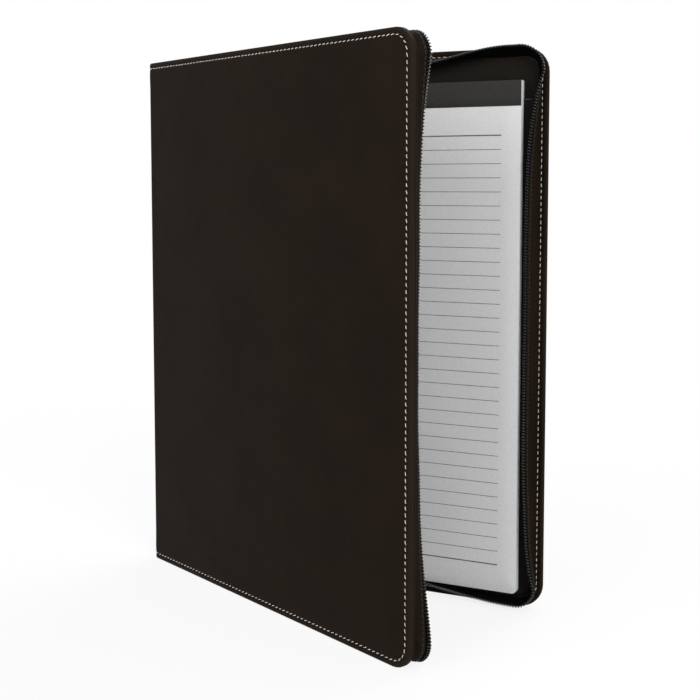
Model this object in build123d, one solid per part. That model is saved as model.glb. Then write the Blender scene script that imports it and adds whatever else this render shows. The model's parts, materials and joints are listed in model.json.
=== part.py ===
from build123d import *

import os
from math import asin, cos, degrees, exp, pi, radians, sin, tan

os.makedirs("parts", exist_ok=True)

# Zippered padfolio, standing on its lower edges and held ajar.
# +Z is up. The spine runs along Z at the -X side and the covers open towards +X.
# The front cover is on the -Y side and the rear cover, which holds the pad, on the +Y side.

# All sizes are in millimetres and degrees

# Pad, letter size, and the room the covers leave round it
PAD_WIDTH = 216.0
PAD_HEIGHT = 279.4
PAD_START = 12.0
PAD_FOOT = 8.0
HEAD_ROOM = 17.6
EDGE_ROOM = 13.0
PAD_SHEETS = 4.0
PAD_CARD = 0.7
PAD_CORNER = 2.5
BINDING = 0.2
BINDING_DEPTH = 13.5
STAPLE_WIRE = 0.5
STAPLE_SPAN = 12.0
STAPLE_DROP = 6.0
STAPLE_COUNT = 3

# Covers and spine
COVER_HEIGHT = PAD_FOOT + PAD_HEIGHT + HEAD_ROOM
COVER_WIDTH = PAD_START + PAD_WIDTH + EDGE_ROOM
CORNER_RADIUS = 13.0
SPINE_WIDTH = 20.0
SPINE_BULGE = 2.0
OPEN_HALF = 12.5
CLOSED_HALF = 1.4

# Layers of a cover, counted inward from its outer face
SKIN = 0.9
FOAM = 0.6
BOARD = 1.4
LINING = 0.5
FACING = 0.7
EDGE_ROUND = 1.4
SPINE_EDGE_ROUND = 0.6
STIFFENER = 0.4
FIT = 0.1
FOLD_GAP = 0.15
FOLD_SETBACK = 4.0
OVERCUT = 1.0

# Stitch channel, pressed into the outer skin
STITCH_INSET = 3.5
STITCH_WIDTH = 1.0
STITCH_DEPTH = 0.3

# Standing strip that carries the zipper
SEAM_INSET = 3.5
STRIP_START = 6.5
LEVEL_END = 75.0
LEAN_FULL_AT = 140.0
WIDTH_FULL_AT = 190.0
STRIP_WIDTH = 10.0
RUN_LEAN = -28.0
REAR_SIDE_LEAN = -36.0
REAR_TOP_FLARE = 27.0
REAR_BOTTOM_FLARE = 10.0
FRONT_SIDE_LEAN = -29.0
FRONT_TOP_FLARE = 16.0
FRONT_BOTTOM_FLARE = 41.0
FLOOR_FLARE = 13.0
FLARE_FADE = 28.0
RUN_FLARE_FROM = 160.0
RUN_FLARE_FULL = 222.0
RUN_COUNT = 11
BEND_COUNT = 5
SIDE_COUNT = 14
TAPE = 0.6
TAPE_FOOT = 0.9
TAPE_SHOWN = 0.8
TAPE_SHOWN_AT_SPINE = 2.5

# Coil
COIL_LENGTH = 2.5
COIL_HEIGHT = 1.8
COIL_PITCH = 2.0
COIL_LOOP = 1.5
COIL_GAP = 0.8
FRONT_COIL_START = 24.0
STOP_LENGTH = 1.4

# Slider and pull
SLIDER_PARK = 15.4
SLIDER_LENGTH = 11.0
SLIDER_REAR_HALF = 4.4
SLIDER_MOUTH_HALF = 5.0
SLIDER_PLATE = 0.8
SLIDER_CLEARANCE = 0.25
SLIDER_SLOT = 0.55
SLIDER_ROUND = 1.2
WEDGE_HALF = 0.45
WEDGE_LENGTH = 3.6
CROWN_HALF = 2.8
CROWN_WIDTH = 1.6
CROWN_STRAP = 0.6
CROWN_ROOM = 1.8
PULL_LENGTH = 27.0
PULL_WIDTH = 6.4
PULL_THICKNESS = 1.0
PULL_BAR = 0.5
PULL_WINDOW_END = 3.5
PULL_WINDOW_HALF = 1.15
PULL_HOLE_RADIUS = 1.5

# Pockets and pen loop
HEAD_ABOVE_POCKET = 9.4
POCKET_MARGIN = 6.2
CARD_HEAD_ROOM = 27.0
CARD_HEIGHT = 66.0
CARD_STEP = 14.0
CARD_WIDTH = 98.0
CARD_COUNT = 3
DOCUMENT_BELOW_CARDS = 12.0
THUMB_RADIUS = 16.0
THUMB_DEPTH = 10.0
PEN_RADIUS = 4.2
PEN_BAND = 0.7
PEN_LENGTH = 45.0
PEN_FOOT = 105.0

# Levels that follow from the layers
CORE = SKIN + FOAM + BOARD
LINING_TOP = CORE + LINING
FACING_TOP = CORE + FACING
CARD_BACK = LINING_TOP + FIT + BINDING
POCKET_BACK = CARD_BACK + PAD_CARD + FIT
SHEETS_BACK = POCKET_BACK + LINING + FIT
PAD_FACE = SHEETS_BACK + PAD_SHEETS
TAPE_MIDDLE = -(TAPE / 2 + FIT)

# The spine's outer face is an arc through both folds
SPINE_RADIUS = (SPINE_WIDTH**2 / 4 + SPINE_BULGE**2) / (2 * SPINE_BULGE)
SPINE_CENTRE = SPINE_RADIUS - SPINE_BULGE
SPINE_ARC_HALF = degrees(asin(SPINE_WIDTH / 2 / SPINE_RADIUS))
MITRE = (90 + CLOSED_HALF + SPINE_ARC_HALF) / 2

# A cover is drawn flat: u from the fold to the free edge, z up, v inward from the outer face
open_turn = radians(OPEN_HALF)
REAR = Plane(
    origin=(0, SPINE_WIDTH / 2, 0),
    x_dir=(cos(open_turn), sin(open_turn), 0),
    z_dir=(sin(open_turn), -cos(open_turn), 0),
)

# The slider is drawn on the closed chain: x along the chain, y towards the rear cover
chain_turn = radians(OPEN_HALF - CLOSED_HALF)
CHAIN = Plane(
    origin=(SPINE_WIDTH / 2 * sin(chain_turn), SPINE_WIDTH / 2 * (1 - cos(chain_turn)), 0),
    x_dir=(cos(chain_turn), sin(chain_turn), 0),
    z_dir=(0, 0, 1),
)
CHAIN_HEIGHT = COVER_HEIGHT - SEAM_INSET + TAPE_MIDDLE


def on_rear(shape):
    return REAR.location * shape


def on_front(shape):
    placed = REAR.location * shape
    return Compound([solid.mirror(Plane.XZ) for solid in placed.solids()])


def on_chain(shape):
    return CHAIN.location * Pos(SLIDER_PARK, 0, CHAIN_HEIGHT) * shape


def cover_outline(inset, start):
    """Outline of a cover in (u, z), square at the fold and rounded at the free corners."""
    width = COVER_WIDTH - inset - start
    sheet = Pos(start + width / 2, COVER_HEIGHT / 2) * Rectangle(width, COVER_HEIGHT - 2 * inset)
    return fillet(sheet.vertices().group_by(Axis.X)[-1], CORNER_RADIUS - inset)


def layer(sketch, bottom, top):
    return Pos(0, 0, bottom) * extrude(sketch, top - bottom)


def panel(left, right, foot, head, bottom, top):
    """Flat rectangular sheet in a cover."""
    sheet = Pos((left + right) / 2, (foot + head) / 2) * Rectangle(right - left, head - foot)
    return layer(sheet, bottom, top)


# Cover skin: outer face, turned rim on three sides, stitch channel, mitred end at the fold
def cover_skin():
    block = layer(cover_outline(0, FOLD_GAP), 0, CORE)
    room = layer(cover_outline(SKIN, 0), SKIN, CORE + OVERCUT)
    tray = block - room
    outer_edges = tray.faces().sort_by(Axis.Z)[0].edges()
    rim_edges = [edge for edge in outer_edges if edge.center().X > FOLD_SETBACK]
    tray = fillet(rim_edges, EDGE_ROUND)
    outside = cover_outline(STITCH_INSET - STITCH_WIDTH / 2, 0)
    inside = cover_outline(STITCH_INSET + STITCH_WIDTH / 2, 0)
    tray -= layer(outside - inside, 0, STITCH_DEPTH)
    run = CORE / tan(radians(MITRE))
    mitre = Plane.XZ * Polygon((0, 0), (run, CORE), (0, CORE), align=None)
    cutter = Pos(FOLD_GAP, 0, 0) * extrude(mitre, -COVER_HEIGHT)
    return tray - cutter


# Spine: concentric arcs
def spine_arc(outer, thickness, half_angle):
    reach = 2 * SPINE_WIDTH
    rise = reach * tan(radians(half_angle))
    wedge = Polygon((0, 0), (-reach, rise), (-reach, -rise), align=None)
    ring = Circle(SPINE_RADIUS - outer) - Circle(SPINE_RADIUS - outer - thickness)
    return Pos(SPINE_CENTRE, 0) * (ring & wedge)


def spine_skin():
    shell = extrude(spine_arc(0, SKIN, 2 * SPINE_ARC_HALF), COVER_HEIGHT)
    half = SPINE_WIDTH / 2 - FOLD_GAP
    turn = radians(MITRE - CLOSED_HALF)
    reach = SPINE_WIDTH
    inner_x = half / tan(turn)
    keep = Polygon(
        (0, half), (-reach, half), (-reach, -half), (0, -half), (inner_x, 0), align=None
    )
    shell &= extrude(keep, COVER_HEIGHT)
    ends = shell.edges().filter_by(GeomType.CIRCLE).sort_by(SortBy.LENGTH)[-2:]
    shell = fillet(ends, SPINE_EDGE_ROUND)
    band = spine_arc(0, STITCH_DEPTH, 2 * SPINE_ARC_HALF)
    channel = extrude(band, STITCH_WIDTH)
    foot = STITCH_INSET - STITCH_WIDTH / 2
    head = COVER_HEIGHT - STITCH_INSET - STITCH_WIDTH / 2
    return shell - Pos(0, 0, foot) * channel - Pos(0, 0, head) * channel


def spine_layer(outer, thickness, foot):
    arc = spine_arc(outer, thickness, SPINE_ARC_HALF * 0.8)
    return Pos(0, 0, foot) * extrude(arc, COVER_HEIGHT - 2 * foot)


# Standing strip: its seam runs along the top, round both free corners and back along the foot
bend_radius = CORNER_RADIUS - SEAM_INSET
run_length = COVER_WIDTH - CORNER_RADIUS - STRIP_START
bend_length = bend_radius * pi / 2
side_length = COVER_HEIGHT - 2 * CORNER_RADIUS
seam_length = 2 * run_length + 2 * bend_length + side_length


def ease(value, start, end):
    share = min(max((value - start) / (end - start), 0), 1)
    return share * share * (3 - 2 * share)


def level_width(u):
    """Strip width that keeps the coil clear of the middle plane when the covers are shut."""
    turn = radians(CLOSED_HALF)
    middle = (SPINE_WIDTH / 2 + u * sin(turn)) / cos(turn)
    return middle - COIL_GAP - FACING_TOP


rear_lean = (REAR_SIDE_LEAN, REAR_TOP_FLARE, REAR_BOTTOM_FLARE)
front_lean = (FRONT_SIDE_LEAN, FRONT_TOP_FLARE, FRONT_BOTTOM_FLARE)


def strip_at(distance, leans):
    """Seam point, rising and sideways directions, width and facing height along the seam."""
    side_lean, top_flare, bottom_flare = leans
    lower = distance > seam_length / 2
    along = seam_length - distance if lower else distance
    flare = bottom_flare if lower else top_flare
    run_flare = min(flare, FLOOR_FLARE) if lower else flare
    past_run = along - run_length
    past_bend = past_run - bend_length
    width = STRIP_WIDTH
    shown = TAPE_SHOWN
    if past_run <= 0:
        u = STRIP_START + along
        point = (u, COVER_HEIGHT - SEAM_INSET)
        outward = (0.0, 1.0)
        leaning = ease(u, LEVEL_END, LEAN_FULL_AT)
        widening = ease(u, LEVEL_END, WIDTH_FULL_AT)
        flaring = ease(u, RUN_FLARE_FROM, RUN_FLARE_FULL)
        lean = leaning * (RUN_LEAN + (run_flare - RUN_LEAN) * flaring)
        width = level_width(u) * (1 - widening) + STRIP_WIDTH * widening
        shown = TAPE_SHOWN_AT_SPINE * (1 - leaning) + TAPE_SHOWN * leaning
    elif past_bend <= 0:
        turn = pi / 2 * (1 - past_run / bend_length)
        outward = (cos(turn), sin(turn))
        centre = (COVER_WIDTH - CORNER_RADIUS, COVER_HEIGHT - CORNER_RADIUS)
        point = (centre[0] + bend_radius * outward[0], centre[1] + bend_radius * outward[1])
        lean = run_flare + (flare - run_flare) * past_run / bend_length
    else:
        point = (COVER_WIDTH - SEAM_INSET, COVER_HEIGHT - CORNER_RADIUS - past_bend)
        outward = (1.0, 0.0)
        lean = side_lean + (flare - side_lean) * exp(-past_bend / FLARE_FADE)
    if lower:
        point = (point[0], COVER_HEIGHT - point[1])
        outward = (outward[0], -outward[1])
    tilt = radians(lean)
    rise = Vector(outward[0] * sin(tilt), outward[1] * sin(tilt), cos(tilt))
    side = Vector(outward[0] * cos(tilt), outward[1] * cos(tilt), -sin(tilt))
    root = Vector(point[0], point[1], FACING_TOP)
    return root, rise, side, width, width - COIL_LENGTH - shown


def seam_stations():
    marks = [run_length * i / RUN_COUNT for i in range(RUN_COUNT)]
    marks += [run_length + bend_length * i / BEND_COUNT for i in range(BEND_COUNT)]
    start = run_length + bend_length
    marks += [start + side_length * i / SIDE_COUNT for i in range(SIDE_COUNT // 2)]
    return marks + [seam_length / 2] + [seam_length - mark for mark in reversed(marks)]


def strip(section, leans):
    """Solid through one quadrilateral section at each station of the seam."""
    faces = []
    for mark in seam_stations():
        root, rise, side, width, facing = strip_at(mark, leans)
        low, high, inner, outer = section(width, facing)
        corners = [(low, inner), (low, outer), (high, outer), (high, inner)]
        points = [root + rise * along + side * across for along, across in corners]
        faces.append(Face(Wire.make_polygon(points, close=True)))
    return loft(faces, ruled=True)


def facing_section(width, facing):
    return -FACING / 2, facing, 0, FACING


def tape_section(width, facing):
    middle = TAPE_MIDDLE
    return TAPE_FOOT, width - COIL_LENGTH - FIT, middle - TAPE / 2, middle + TAPE / 2


def gusset(leans):
    foot = cover_outline(FIT, STRIP_START) - cover_outline(SEAM_INSET + FACING, 0)
    return layer(foot, CORE, FACING_TOP) + strip(facing_section, leans)


def coil_marks(start, leans):
    """Seam distances of the loops, evenly spaced along the coil's own line."""
    step = COIL_PITCH / 8
    marks = []
    travelled = COIL_PITCH
    previous = None
    distance = start - STRIP_START
    while distance < seam_length - (start - STRIP_START):
        root, rise, side, width, facing = strip_at(distance, leans)
        here = root + rise * (width - COIL_LENGTH / 2)
        if previous is not None:
            travelled += (here - previous).length
        if travelled >= COIL_PITCH:
            marks.append(distance)
            travelled -= COIL_PITCH
        previous = here
        distance += step
    return marks


def seated(shape, distance, leans):
    """Place a shape at the edge of the tape: x along the seam, y towards the coil's tip."""
    root, rise, side, width, facing = strip_at(distance, leans)
    origin = root + rise * (width - COIL_LENGTH) + side * TAPE_MIDDLE
    return Plane(origin=origin, x_dir=rise.cross(side), z_dir=side).location * shape


def coil(start, leans):
    half = COIL_LOOP / 2
    outline = Polygon((-half, 0), (half, 0), (0, COIL_LENGTH), align=None)
    loop = Pos(0, 0, -COIL_HEIGHT / 2) * extrude(outline, COIL_HEIGHT)
    loop = loop.solid()
    return Compound([seated(loop, mark, leans) for mark in coil_marks(start, leans)])


rear_coil_start = STRIP_START + STOP_LENGTH + COIL_LOOP / 2 + 3 * FIT


def end_stops(leans):
    clip = Pos(0, COIL_LENGTH / 2 - STOP_LENGTH / 2, 0) * Box(
        STOP_LENGTH, COIL_LENGTH + STOP_LENGTH, COIL_HEIGHT
    )
    slot = Pos(0, -STOP_LENGTH / 2, 0) * Box(2 * STOP_LENGTH, STOP_LENGTH, TAPE + 2 * FIT)
    clip = (clip - slot).solid()
    first = STOP_LENGTH / 2 + FIT
    return Compound([seated(clip, first, leans), seated(clip, seam_length - first, leans)])


# Slider: two plates joined by the wedge, side rails that leave a slot for the tape
def slider_body():
    back = -SLIDER_LENGTH / 2
    front = SLIDER_LENGTH / 2
    outline = Polygon(
        (back, -SLIDER_REAR_HALF), (front, -SLIDER_MOUTH_HALF),
        (front, SLIDER_MOUTH_HALF), (back, SLIDER_REAR_HALF), align=None,
    )
    outline = fillet(outline.vertices(), SLIDER_ROUND)
    room = COIL_HEIGHT / 2 + SLIDER_CLEARANCE
    track = COIL_GAP + COIL_LENGTH + SLIDER_CLEARANCE
    rails = outline - Rectangle(2 * SLIDER_LENGTH, 2 * track)
    wedge = Pos(front - WEDGE_LENGTH / 2 - SLIDER_ROUND) * SlotOverall(WEDGE_LENGTH, 2 * WEDGE_HALF)
    upper = layer(outline, room, room + SLIDER_PLATE) + layer(rails, SLIDER_SLOT, room)
    return upper + upper.mirror(Plane.XY) + layer(wedge, -room, room)


slider_top = COIL_HEIGHT / 2 + SLIDER_CLEARANCE + SLIDER_PLATE
pull_axis = slider_top + CROWN_ROOM / 2


def slider_crown():
    height = CROWN_ROOM + CROWN_STRAP
    outer = Pos(0, height / 2) * Rectangle(2 * CROWN_HALF, height)
    outer = fillet(outer.vertices().group_by(Axis.Y)[-1], CROWN_STRAP)
    hole = Pos(0, CROWN_ROOM / 2) * Rectangle(2 * (CROWN_HALF - CROWN_STRAP), CROWN_ROOM)
    arch = extrude(Plane.XZ * (outer - hole), CROWN_WIDTH / 2, both=True)
    return Pos(0, 0, slider_top) * arch


def pull_tab():
    length = PULL_LENGTH + PULL_BAR
    outline = Pos(PULL_LENGTH / 2 - PULL_BAR / 2) * RectangleRounded(length, PULL_WIDTH, PULL_WIDTH / 4)
    window_length = PULL_WINDOW_END - PULL_BAR
    window = Pos(PULL_BAR + window_length / 2) * Rectangle(window_length, 2 * PULL_WINDOW_HALF)
    hole = Pos(PULL_LENGTH - 2 * PULL_HOLE_RADIUS - PULL_BAR) * Circle(PULL_HOLE_RADIUS)
    tab = extrude(outline - window - hole, PULL_THICKNESS / 2, both=True)
    return Pos(0, 0, pull_axis) * tab


# Pad: card tucked behind the pocket panel, sheets in front of it, head bound in a strip
pad_head = PAD_FOOT + PAD_HEIGHT
pocket_mouth = pad_head - HEAD_ABOVE_POCKET
pad_end = PAD_START + PAD_WIDTH
pad_middle = PAD_START + PAD_WIDTH / 2
bound_foot = pocket_mouth + FIT


def pad_outline():
    sheet = Pos(pad_middle, PAD_FOOT + PAD_HEIGHT / 2) * Rectangle(PAD_WIDTH, PAD_HEIGHT)
    return fillet(sheet.vertices().group_by(Axis.Y)[0], PAD_CORNER)


def staple_places():
    step = PAD_WIDTH / STAPLE_COUNT
    return [PAD_START + step * (i + 0.5) for i in range(STAPLE_COUNT)]


def staple(u, room):
    """A staple's crown and two legs, grown by a little room when it is used as a cutter."""
    wire = STAPLE_WIRE + 2 * room
    level = pad_head - STAPLE_DROP
    depth = PAD_FACE - CARD_BACK - PAD_CARD + room
    crown = Pos(u, level, PAD_FACE - STAPLE_WIRE / 2) * Box(STAPLE_SPAN + wire, wire, STAPLE_WIRE)
    for end in (-STAPLE_SPAN / 2, STAPLE_SPAN / 2):
        crown += Pos(u + end, level, PAD_FACE - depth / 2) * Box(wire, wire, depth)
    return crown


def pad_sheets():
    block = layer(pad_outline(), SHEETS_BACK, PAD_FACE)
    block += panel(PAD_START, pad_end, bound_foot, pad_head, CARD_BACK + PAD_CARD, SHEETS_BACK)
    for u in staple_places():
        block -= staple(u, FIT / 2)
    return block


def pad_staples():
    return Compound([staple(u, 0).solid() for u in staple_places()])


def pad_binding():
    foot = pad_head - BINDING_DEPTH
    front = panel(PAD_START, pad_end, foot, pad_head, PAD_FACE, PAD_FACE + BINDING)
    back = panel(PAD_START, pad_end, foot, pad_head, CARD_BACK - BINDING, CARD_BACK)
    top = panel(PAD_START, pad_end, pad_head, pad_head + BINDING, CARD_BACK - BINDING, PAD_FACE + BINDING)
    return front + back + top


# Linings and pockets
lining_inset = SEAM_INSET + FACING + FIT
pocket_left = FOLD_SETBACK + FIT
pocket_right = COVER_WIDTH - POCKET_MARGIN
card_foot = COVER_HEIGHT - CARD_HEAD_ROOM - CARD_HEIGHT
card_start = (COVER_WIDTH - CARD_WIDTH) / 2
document_mouth = card_foot - DOCUMENT_BELOW_CARDS


def cover_lining():
    return layer(cover_outline(lining_inset, FOLD_SETBACK), CORE, LINING_TOP)


def pad_pocket():
    sheet = cover_outline(POCKET_MARGIN, pocket_left)
    below = Pos(COVER_WIDTH / 2, pocket_mouth / 2) * Rectangle(2 * COVER_WIDTH, pocket_mouth)
    return layer(sheet & below, POCKET_BACK, POCKET_BACK + LINING)


def document_pocket():
    sheet = cover_outline(POCKET_MARGIN, pocket_left)
    below = Pos(COVER_WIDTH / 2, document_mouth / 2) * Rectangle(2 * COVER_WIDTH, document_mouth)
    middle = (pocket_left + pocket_right) / 2
    thumb = Pos(middle, document_mouth + THUMB_RADIUS - THUMB_DEPTH) * Circle(THUMB_RADIUS)
    return layer((sheet & below) - thumb, LINING_TOP + FIT, LINING_TOP + FIT + LINING)


def card_pocket(number):
    """Number 0 is the lowest and lies in front of the others."""
    behind = CARD_COUNT - 1 - number
    head = card_foot + CARD_HEIGHT - behind * CARD_STEP
    bottom = LINING_TOP + FIT + behind * (LINING + FIT)
    return panel(card_start, card_start + CARD_WIDTH, card_foot, head, bottom, bottom + LINING)


# Pen loop: a band round the pen with its tail laid along the gutter
stiffener_back = SKIN + FIT
spine_lining_back = stiffener_back + STIFFENER + FIT
gutter = spine_lining_back + LINING + FIT


def pen_loop():
    outer = PEN_RADIUS + PEN_BAND
    centre = gutter - SPINE_BULGE + outer
    tail = spine_arc(gutter, PEN_BAND, SPINE_ARC_HALF / 3)
    band = tail + Pos(centre, 0) * Circle(outer) - Pos(centre, 0) * Circle(PEN_RADIUS)
    return Pos(0, 0, PEN_FOOT) * extrude(band, PEN_LENGTH)


inner_outline = cover_outline(SKIN + FIT, FOLD_SETBACK)
skin = cover_skin()
padding = layer(inner_outline, SKIN, SKIN + FOAM)
board = layer(inner_outline, SKIN + FOAM, CORE)
lining = cover_lining()

pieces = {
    "rear_cover_skin": on_rear(skin),
    "rear_cover_padding": on_rear(padding),
    "rear_cover_board": on_rear(board),
    "rear_lining": on_rear(lining),
    "rear_gusset": on_rear(gusset(rear_lean)),
    "rear_zipper_tape": on_rear(strip(tape_section, rear_lean)),
    "rear_zipper_coil": on_rear(coil(rear_coil_start, rear_lean)),
    "rear_end_stops": on_rear(end_stops(rear_lean)),
    "pad_pocket": on_rear(pad_pocket()),
    "front_cover_skin": on_front(skin),
    "front_cover_padding": on_front(padding),
    "front_cover_board": on_front(board),
    "front_lining": on_front(lining),
    "front_gusset": on_front(gusset(front_lean)),
    "front_zipper_tape": on_front(strip(tape_section, front_lean)),
    "front_zipper_coil": on_front(coil(FRONT_COIL_START, front_lean)),
    "front_end_stops": on_front(end_stops(front_lean)),
    "document_pocket": on_front(document_pocket()),
    "spine_skin": spine_skin(),
    "spine_stiffener": spine_layer(stiffener_back, STIFFENER, FOLD_SETBACK),
    "spine_lining": spine_layer(spine_lining_back, LINING, FOLD_SETBACK),
    "pen_loop": pen_loop(),
    "pad_card": on_rear(layer(pad_outline(), CARD_BACK, CARD_BACK + PAD_CARD)),
    "pad_sheets": on_rear(pad_sheets()),
    "pad_staples": on_rear(pad_staples()),
    "pad_binding": on_rear(pad_binding()),
    "slider_body": on_chain(slider_body()),
    "slider_crown": on_chain(slider_crown()),
    "pull_tab": on_chain(pull_tab()),
}
for number in range(CARD_COUNT):
    pieces[f"card_pocket_{number + 1}"] = on_front(card_pocket(number))

# The origin is the middle of the standing foot
box = Compound(list(pieces.values())).bounding_box()
to_middle = Pos(-(box.min.X + box.max.X) / 2, -(box.min.Y + box.max.Y) / 2, -box.min.Z)
for name, piece in pieces.items():
    export_step(to_middle * piece, f"parts/{name}.step")
print("moved by", to_middle.position, "size", box.size)
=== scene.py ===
# %% [markdown]
# # A zippered padfolio, dressed over its frame
# A padfolio is a folder that holds a writing pad behind a zipper. Its solids arrive from CAD as a
# fixed frame, in metres, and this script dresses them: leatherette, thread, zipper and paper.
# Loading the frame first means that every new piece can be placed by the sizes of the real one,
# so nothing has to be moved by eye afterwards.

import json
import math

import bmesh
import bpy
import numpy as np
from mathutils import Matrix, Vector


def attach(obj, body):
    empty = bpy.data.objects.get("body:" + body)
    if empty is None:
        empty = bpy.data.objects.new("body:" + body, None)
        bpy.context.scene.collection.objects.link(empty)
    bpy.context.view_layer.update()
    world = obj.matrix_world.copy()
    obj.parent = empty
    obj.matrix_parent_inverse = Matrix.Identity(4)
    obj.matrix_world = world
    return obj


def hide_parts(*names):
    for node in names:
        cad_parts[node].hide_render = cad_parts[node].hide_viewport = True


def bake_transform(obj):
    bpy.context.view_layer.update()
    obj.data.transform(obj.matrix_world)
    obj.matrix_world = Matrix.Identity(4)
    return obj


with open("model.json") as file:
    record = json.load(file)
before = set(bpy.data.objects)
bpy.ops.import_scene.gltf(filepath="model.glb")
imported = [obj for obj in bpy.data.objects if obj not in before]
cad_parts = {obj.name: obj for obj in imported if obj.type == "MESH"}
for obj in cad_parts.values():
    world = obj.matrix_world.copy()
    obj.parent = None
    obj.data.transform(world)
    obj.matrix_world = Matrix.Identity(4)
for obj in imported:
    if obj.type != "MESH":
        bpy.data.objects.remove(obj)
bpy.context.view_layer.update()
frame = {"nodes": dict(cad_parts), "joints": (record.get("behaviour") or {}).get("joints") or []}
joints = {joint["name"]: joint for joint in frame["joints"]}

# %% [markdown]
# ## Where a place on a cover is
# A cover is easiest to think of lying flat: `u` runs from the fold to the free edge, `z` up the
# fold, and `v` inward from the outer face. One function turns such a place into the frame, and
# the same function with its sign changed serves the other cover, so both are made by one code.

# %% Sizes and places, in millimetres
MM = 0.001
COVER_HEIGHT = 305.0
COVER_WIDTH = 241.0
CORNER = 13.0
SPINE_HALF = 10.0
OPEN_TURN = math.radians(12.5)
REAR, FRONT = 1, -1
SIDE_NAMES = {REAR: "rear", FRONT: "front"}
fold_x = joints["rear_fold"]["pos_m"][0] / MM


def named(side, piece):
    """The name of something that each cover has, such as rear_hide."""
    return SIDE_NAMES[side] + "_" + piece


def alike(*values):
    """Numbers and arrays, spread out to one shape."""
    return np.broadcast_arrays(*(np.asarray(value, float) for value in values))


def cover_point(side, u, v, z):
    """Places on a cover, in millimetres of the frame."""
    u, v, z = alike(u, v, z)
    x = fold_x + u * math.cos(OPEN_TURN) + v * math.sin(OPEN_TURN)
    y = SPINE_HALF + u * math.sin(OPEN_TURN) - v * math.cos(OPEN_TURN)
    return np.stack([x, side * y, z], -1)


print("fold lines at x", round(fold_x, 2), "mm, cover", COVER_WIDTH, "x", COVER_HEIGHT, "mm")

# %% [markdown]
# ## Camera
# The photograph looks at the standing folder from its front right, a little below its top edge,
# through a fairly long lens. The place, turn and focal length could be found by trying, but they
# were solved from the corners of the two covers, which is surer. A small vertical shift keeps the
# upright edges nearly upright, as a product photographer does.

# %% Camera
CAMERA_PLACE = Vector(((579.2 + fold_x) * MM, -0.5301, 0.2321))
CAMERA_TURN = math.radians(39.10)
CAMERA_PITCH = math.radians(-4.79)
FOCAL_PIXELS = 1258.3
IMAGE_PIXELS = 700
LEVEL_ROW = 290

lens = bpy.data.cameras.new("camera")
lens.sensor_width = 36.0
lens.lens = FOCAL_PIXELS / IMAGE_PIXELS * lens.sensor_width
lens.shift_y = (LEVEL_ROW - IMAGE_PIXELS / 2) / IMAGE_PIXELS
camera = bpy.data.objects.new("camera", lens)
bpy.context.scene.collection.objects.link(camera)
forward = Vector((
    -math.sin(CAMERA_TURN) * math.cos(CAMERA_PITCH),
    math.cos(CAMERA_TURN) * math.cos(CAMERA_PITCH),
    math.sin(CAMERA_PITCH),
))
camera.location = CAMERA_PLACE
camera.rotation_mode = "QUATERNION"
camera.rotation_quaternion = forward.to_track_quat("-Z", "Y")
bpy.context.scene.camera = camera
print("camera lens", round(lens.lens, 1), "mm, shift", round(lens.shift_y, 3))

# %% [markdown]
# ## Finishes
# Each finish is a node tree. Patterns such as grain and weave have to follow the material when it
# is bent, so every mesh carries an attribute called `laid`: where each point would lie if the
# piece were spread flat. A second attribute, `rim`, marks the edges that hands rub. The small
# class below only shortens the adding of nodes, so that a finish reads as a recipe.

# %% A short way to write node trees
class Finish:
    """A material under construction."""

    def __init__(self, name, laid=True):
        self.material = bpy.data.materials.new(name)
        self.material.use_nodes = True
        self.tree = self.material.node_tree
        self.shader = self.tree.nodes["Principled BSDF"]
        if laid:
            self.place = self.add("Attribute", {"attribute_name": "laid"}).outputs["Vector"]
        else:
            self.place = self.add("TexCoord").outputs["Object"]

    def add(self, kind, settings=(), sockets=()):
        """A new node, with its settings and with what feeds its sockets."""
        node = self.tree.nodes.new("ShaderNode" + kind)
        for key, value in dict(settings).items():
            setattr(node, key, value)
        for key, value in dict(sockets).items():
            self.feed(node.inputs[key], value)
        return node

    def feed(self, socket, value):
        if isinstance(value, bpy.types.NodeSocket):
            self.tree.links.new(value, socket)
        else:
            socket.default_value = value

    def attribute(self, name):
        return self.add("Attribute", {"attribute_name": name}).outputs["Fac"]

    def axis(self, name):
        return self.add("SeparateXYZ", sockets={0: self.place}).outputs[name]

    def noise(self, scale, detail=2.0, place=None):
        sockets = {"Vector": place or self.place, "Scale": scale, "Detail": detail}
        return self.add("TexNoise", sockets=sockets).outputs[0]

    def cells(self, scale):
        sockets = {"Vector": self.place, "Scale": scale}
        return self.add("TexVoronoi", {"feature": "SMOOTH_F1"}, sockets).outputs["Distance"]

    def bands(self, scale, distortion, direction="X", place=None):
        settings = {"wave_type": "BANDS", "bands_direction": direction}
        sockets = {"Vector": place or self.place, "Scale": scale, "Distortion": distortion}
        return self.add("TexWave", settings, sockets).outputs["Fac"]

    def stretched(self, x, y, z):
        sockets = {0: self.place, 1: (x, y, z)}
        return self.add("VectorMath", {"operation": "MULTIPLY"}, sockets).outputs[0]

    def math(self, operation, first, second=0.0):
        return self.add("Math", {"operation": operation}, {0: first, 1: second}).outputs[0]

    def spread(self, value, low, high, to_low=0.0, to_high=1.0):
        """A value eased from one range to another."""
        sockets = {0: value, 1: low, 2: high, 3: to_low, 4: to_high}
        return self.add("MapRange", {"interpolation_type": "SMOOTHSTEP"}, sockets).outputs[0]

    def mix(self, share, first, second):
        """Two colours mixed: sockets 6 and 7 of the node are its colours, output 2 the mix."""
        sockets = {0: share, 6: first, 7: second}
        return self.add("Mix", {"data_type": "RGBA"}, sockets).outputs[2]

    def bump(self, height, depth, under=None):
        sockets = {"Strength": 1.0, "Distance": depth, "Height": height}
        if under is not None:
            sockets["Normal"] = under
        return self.add("Bump", sockets=sockets).outputs["Normal"]

    def set(self, **sockets):
        for key, value in sockets.items():
            self.feed(self.shader.inputs[key.replace("_", " ")], value)
        return self.material


def colour(red, green, blue):
    return (red, green, blue, 1.0)


print("finish recipes ready")

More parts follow.
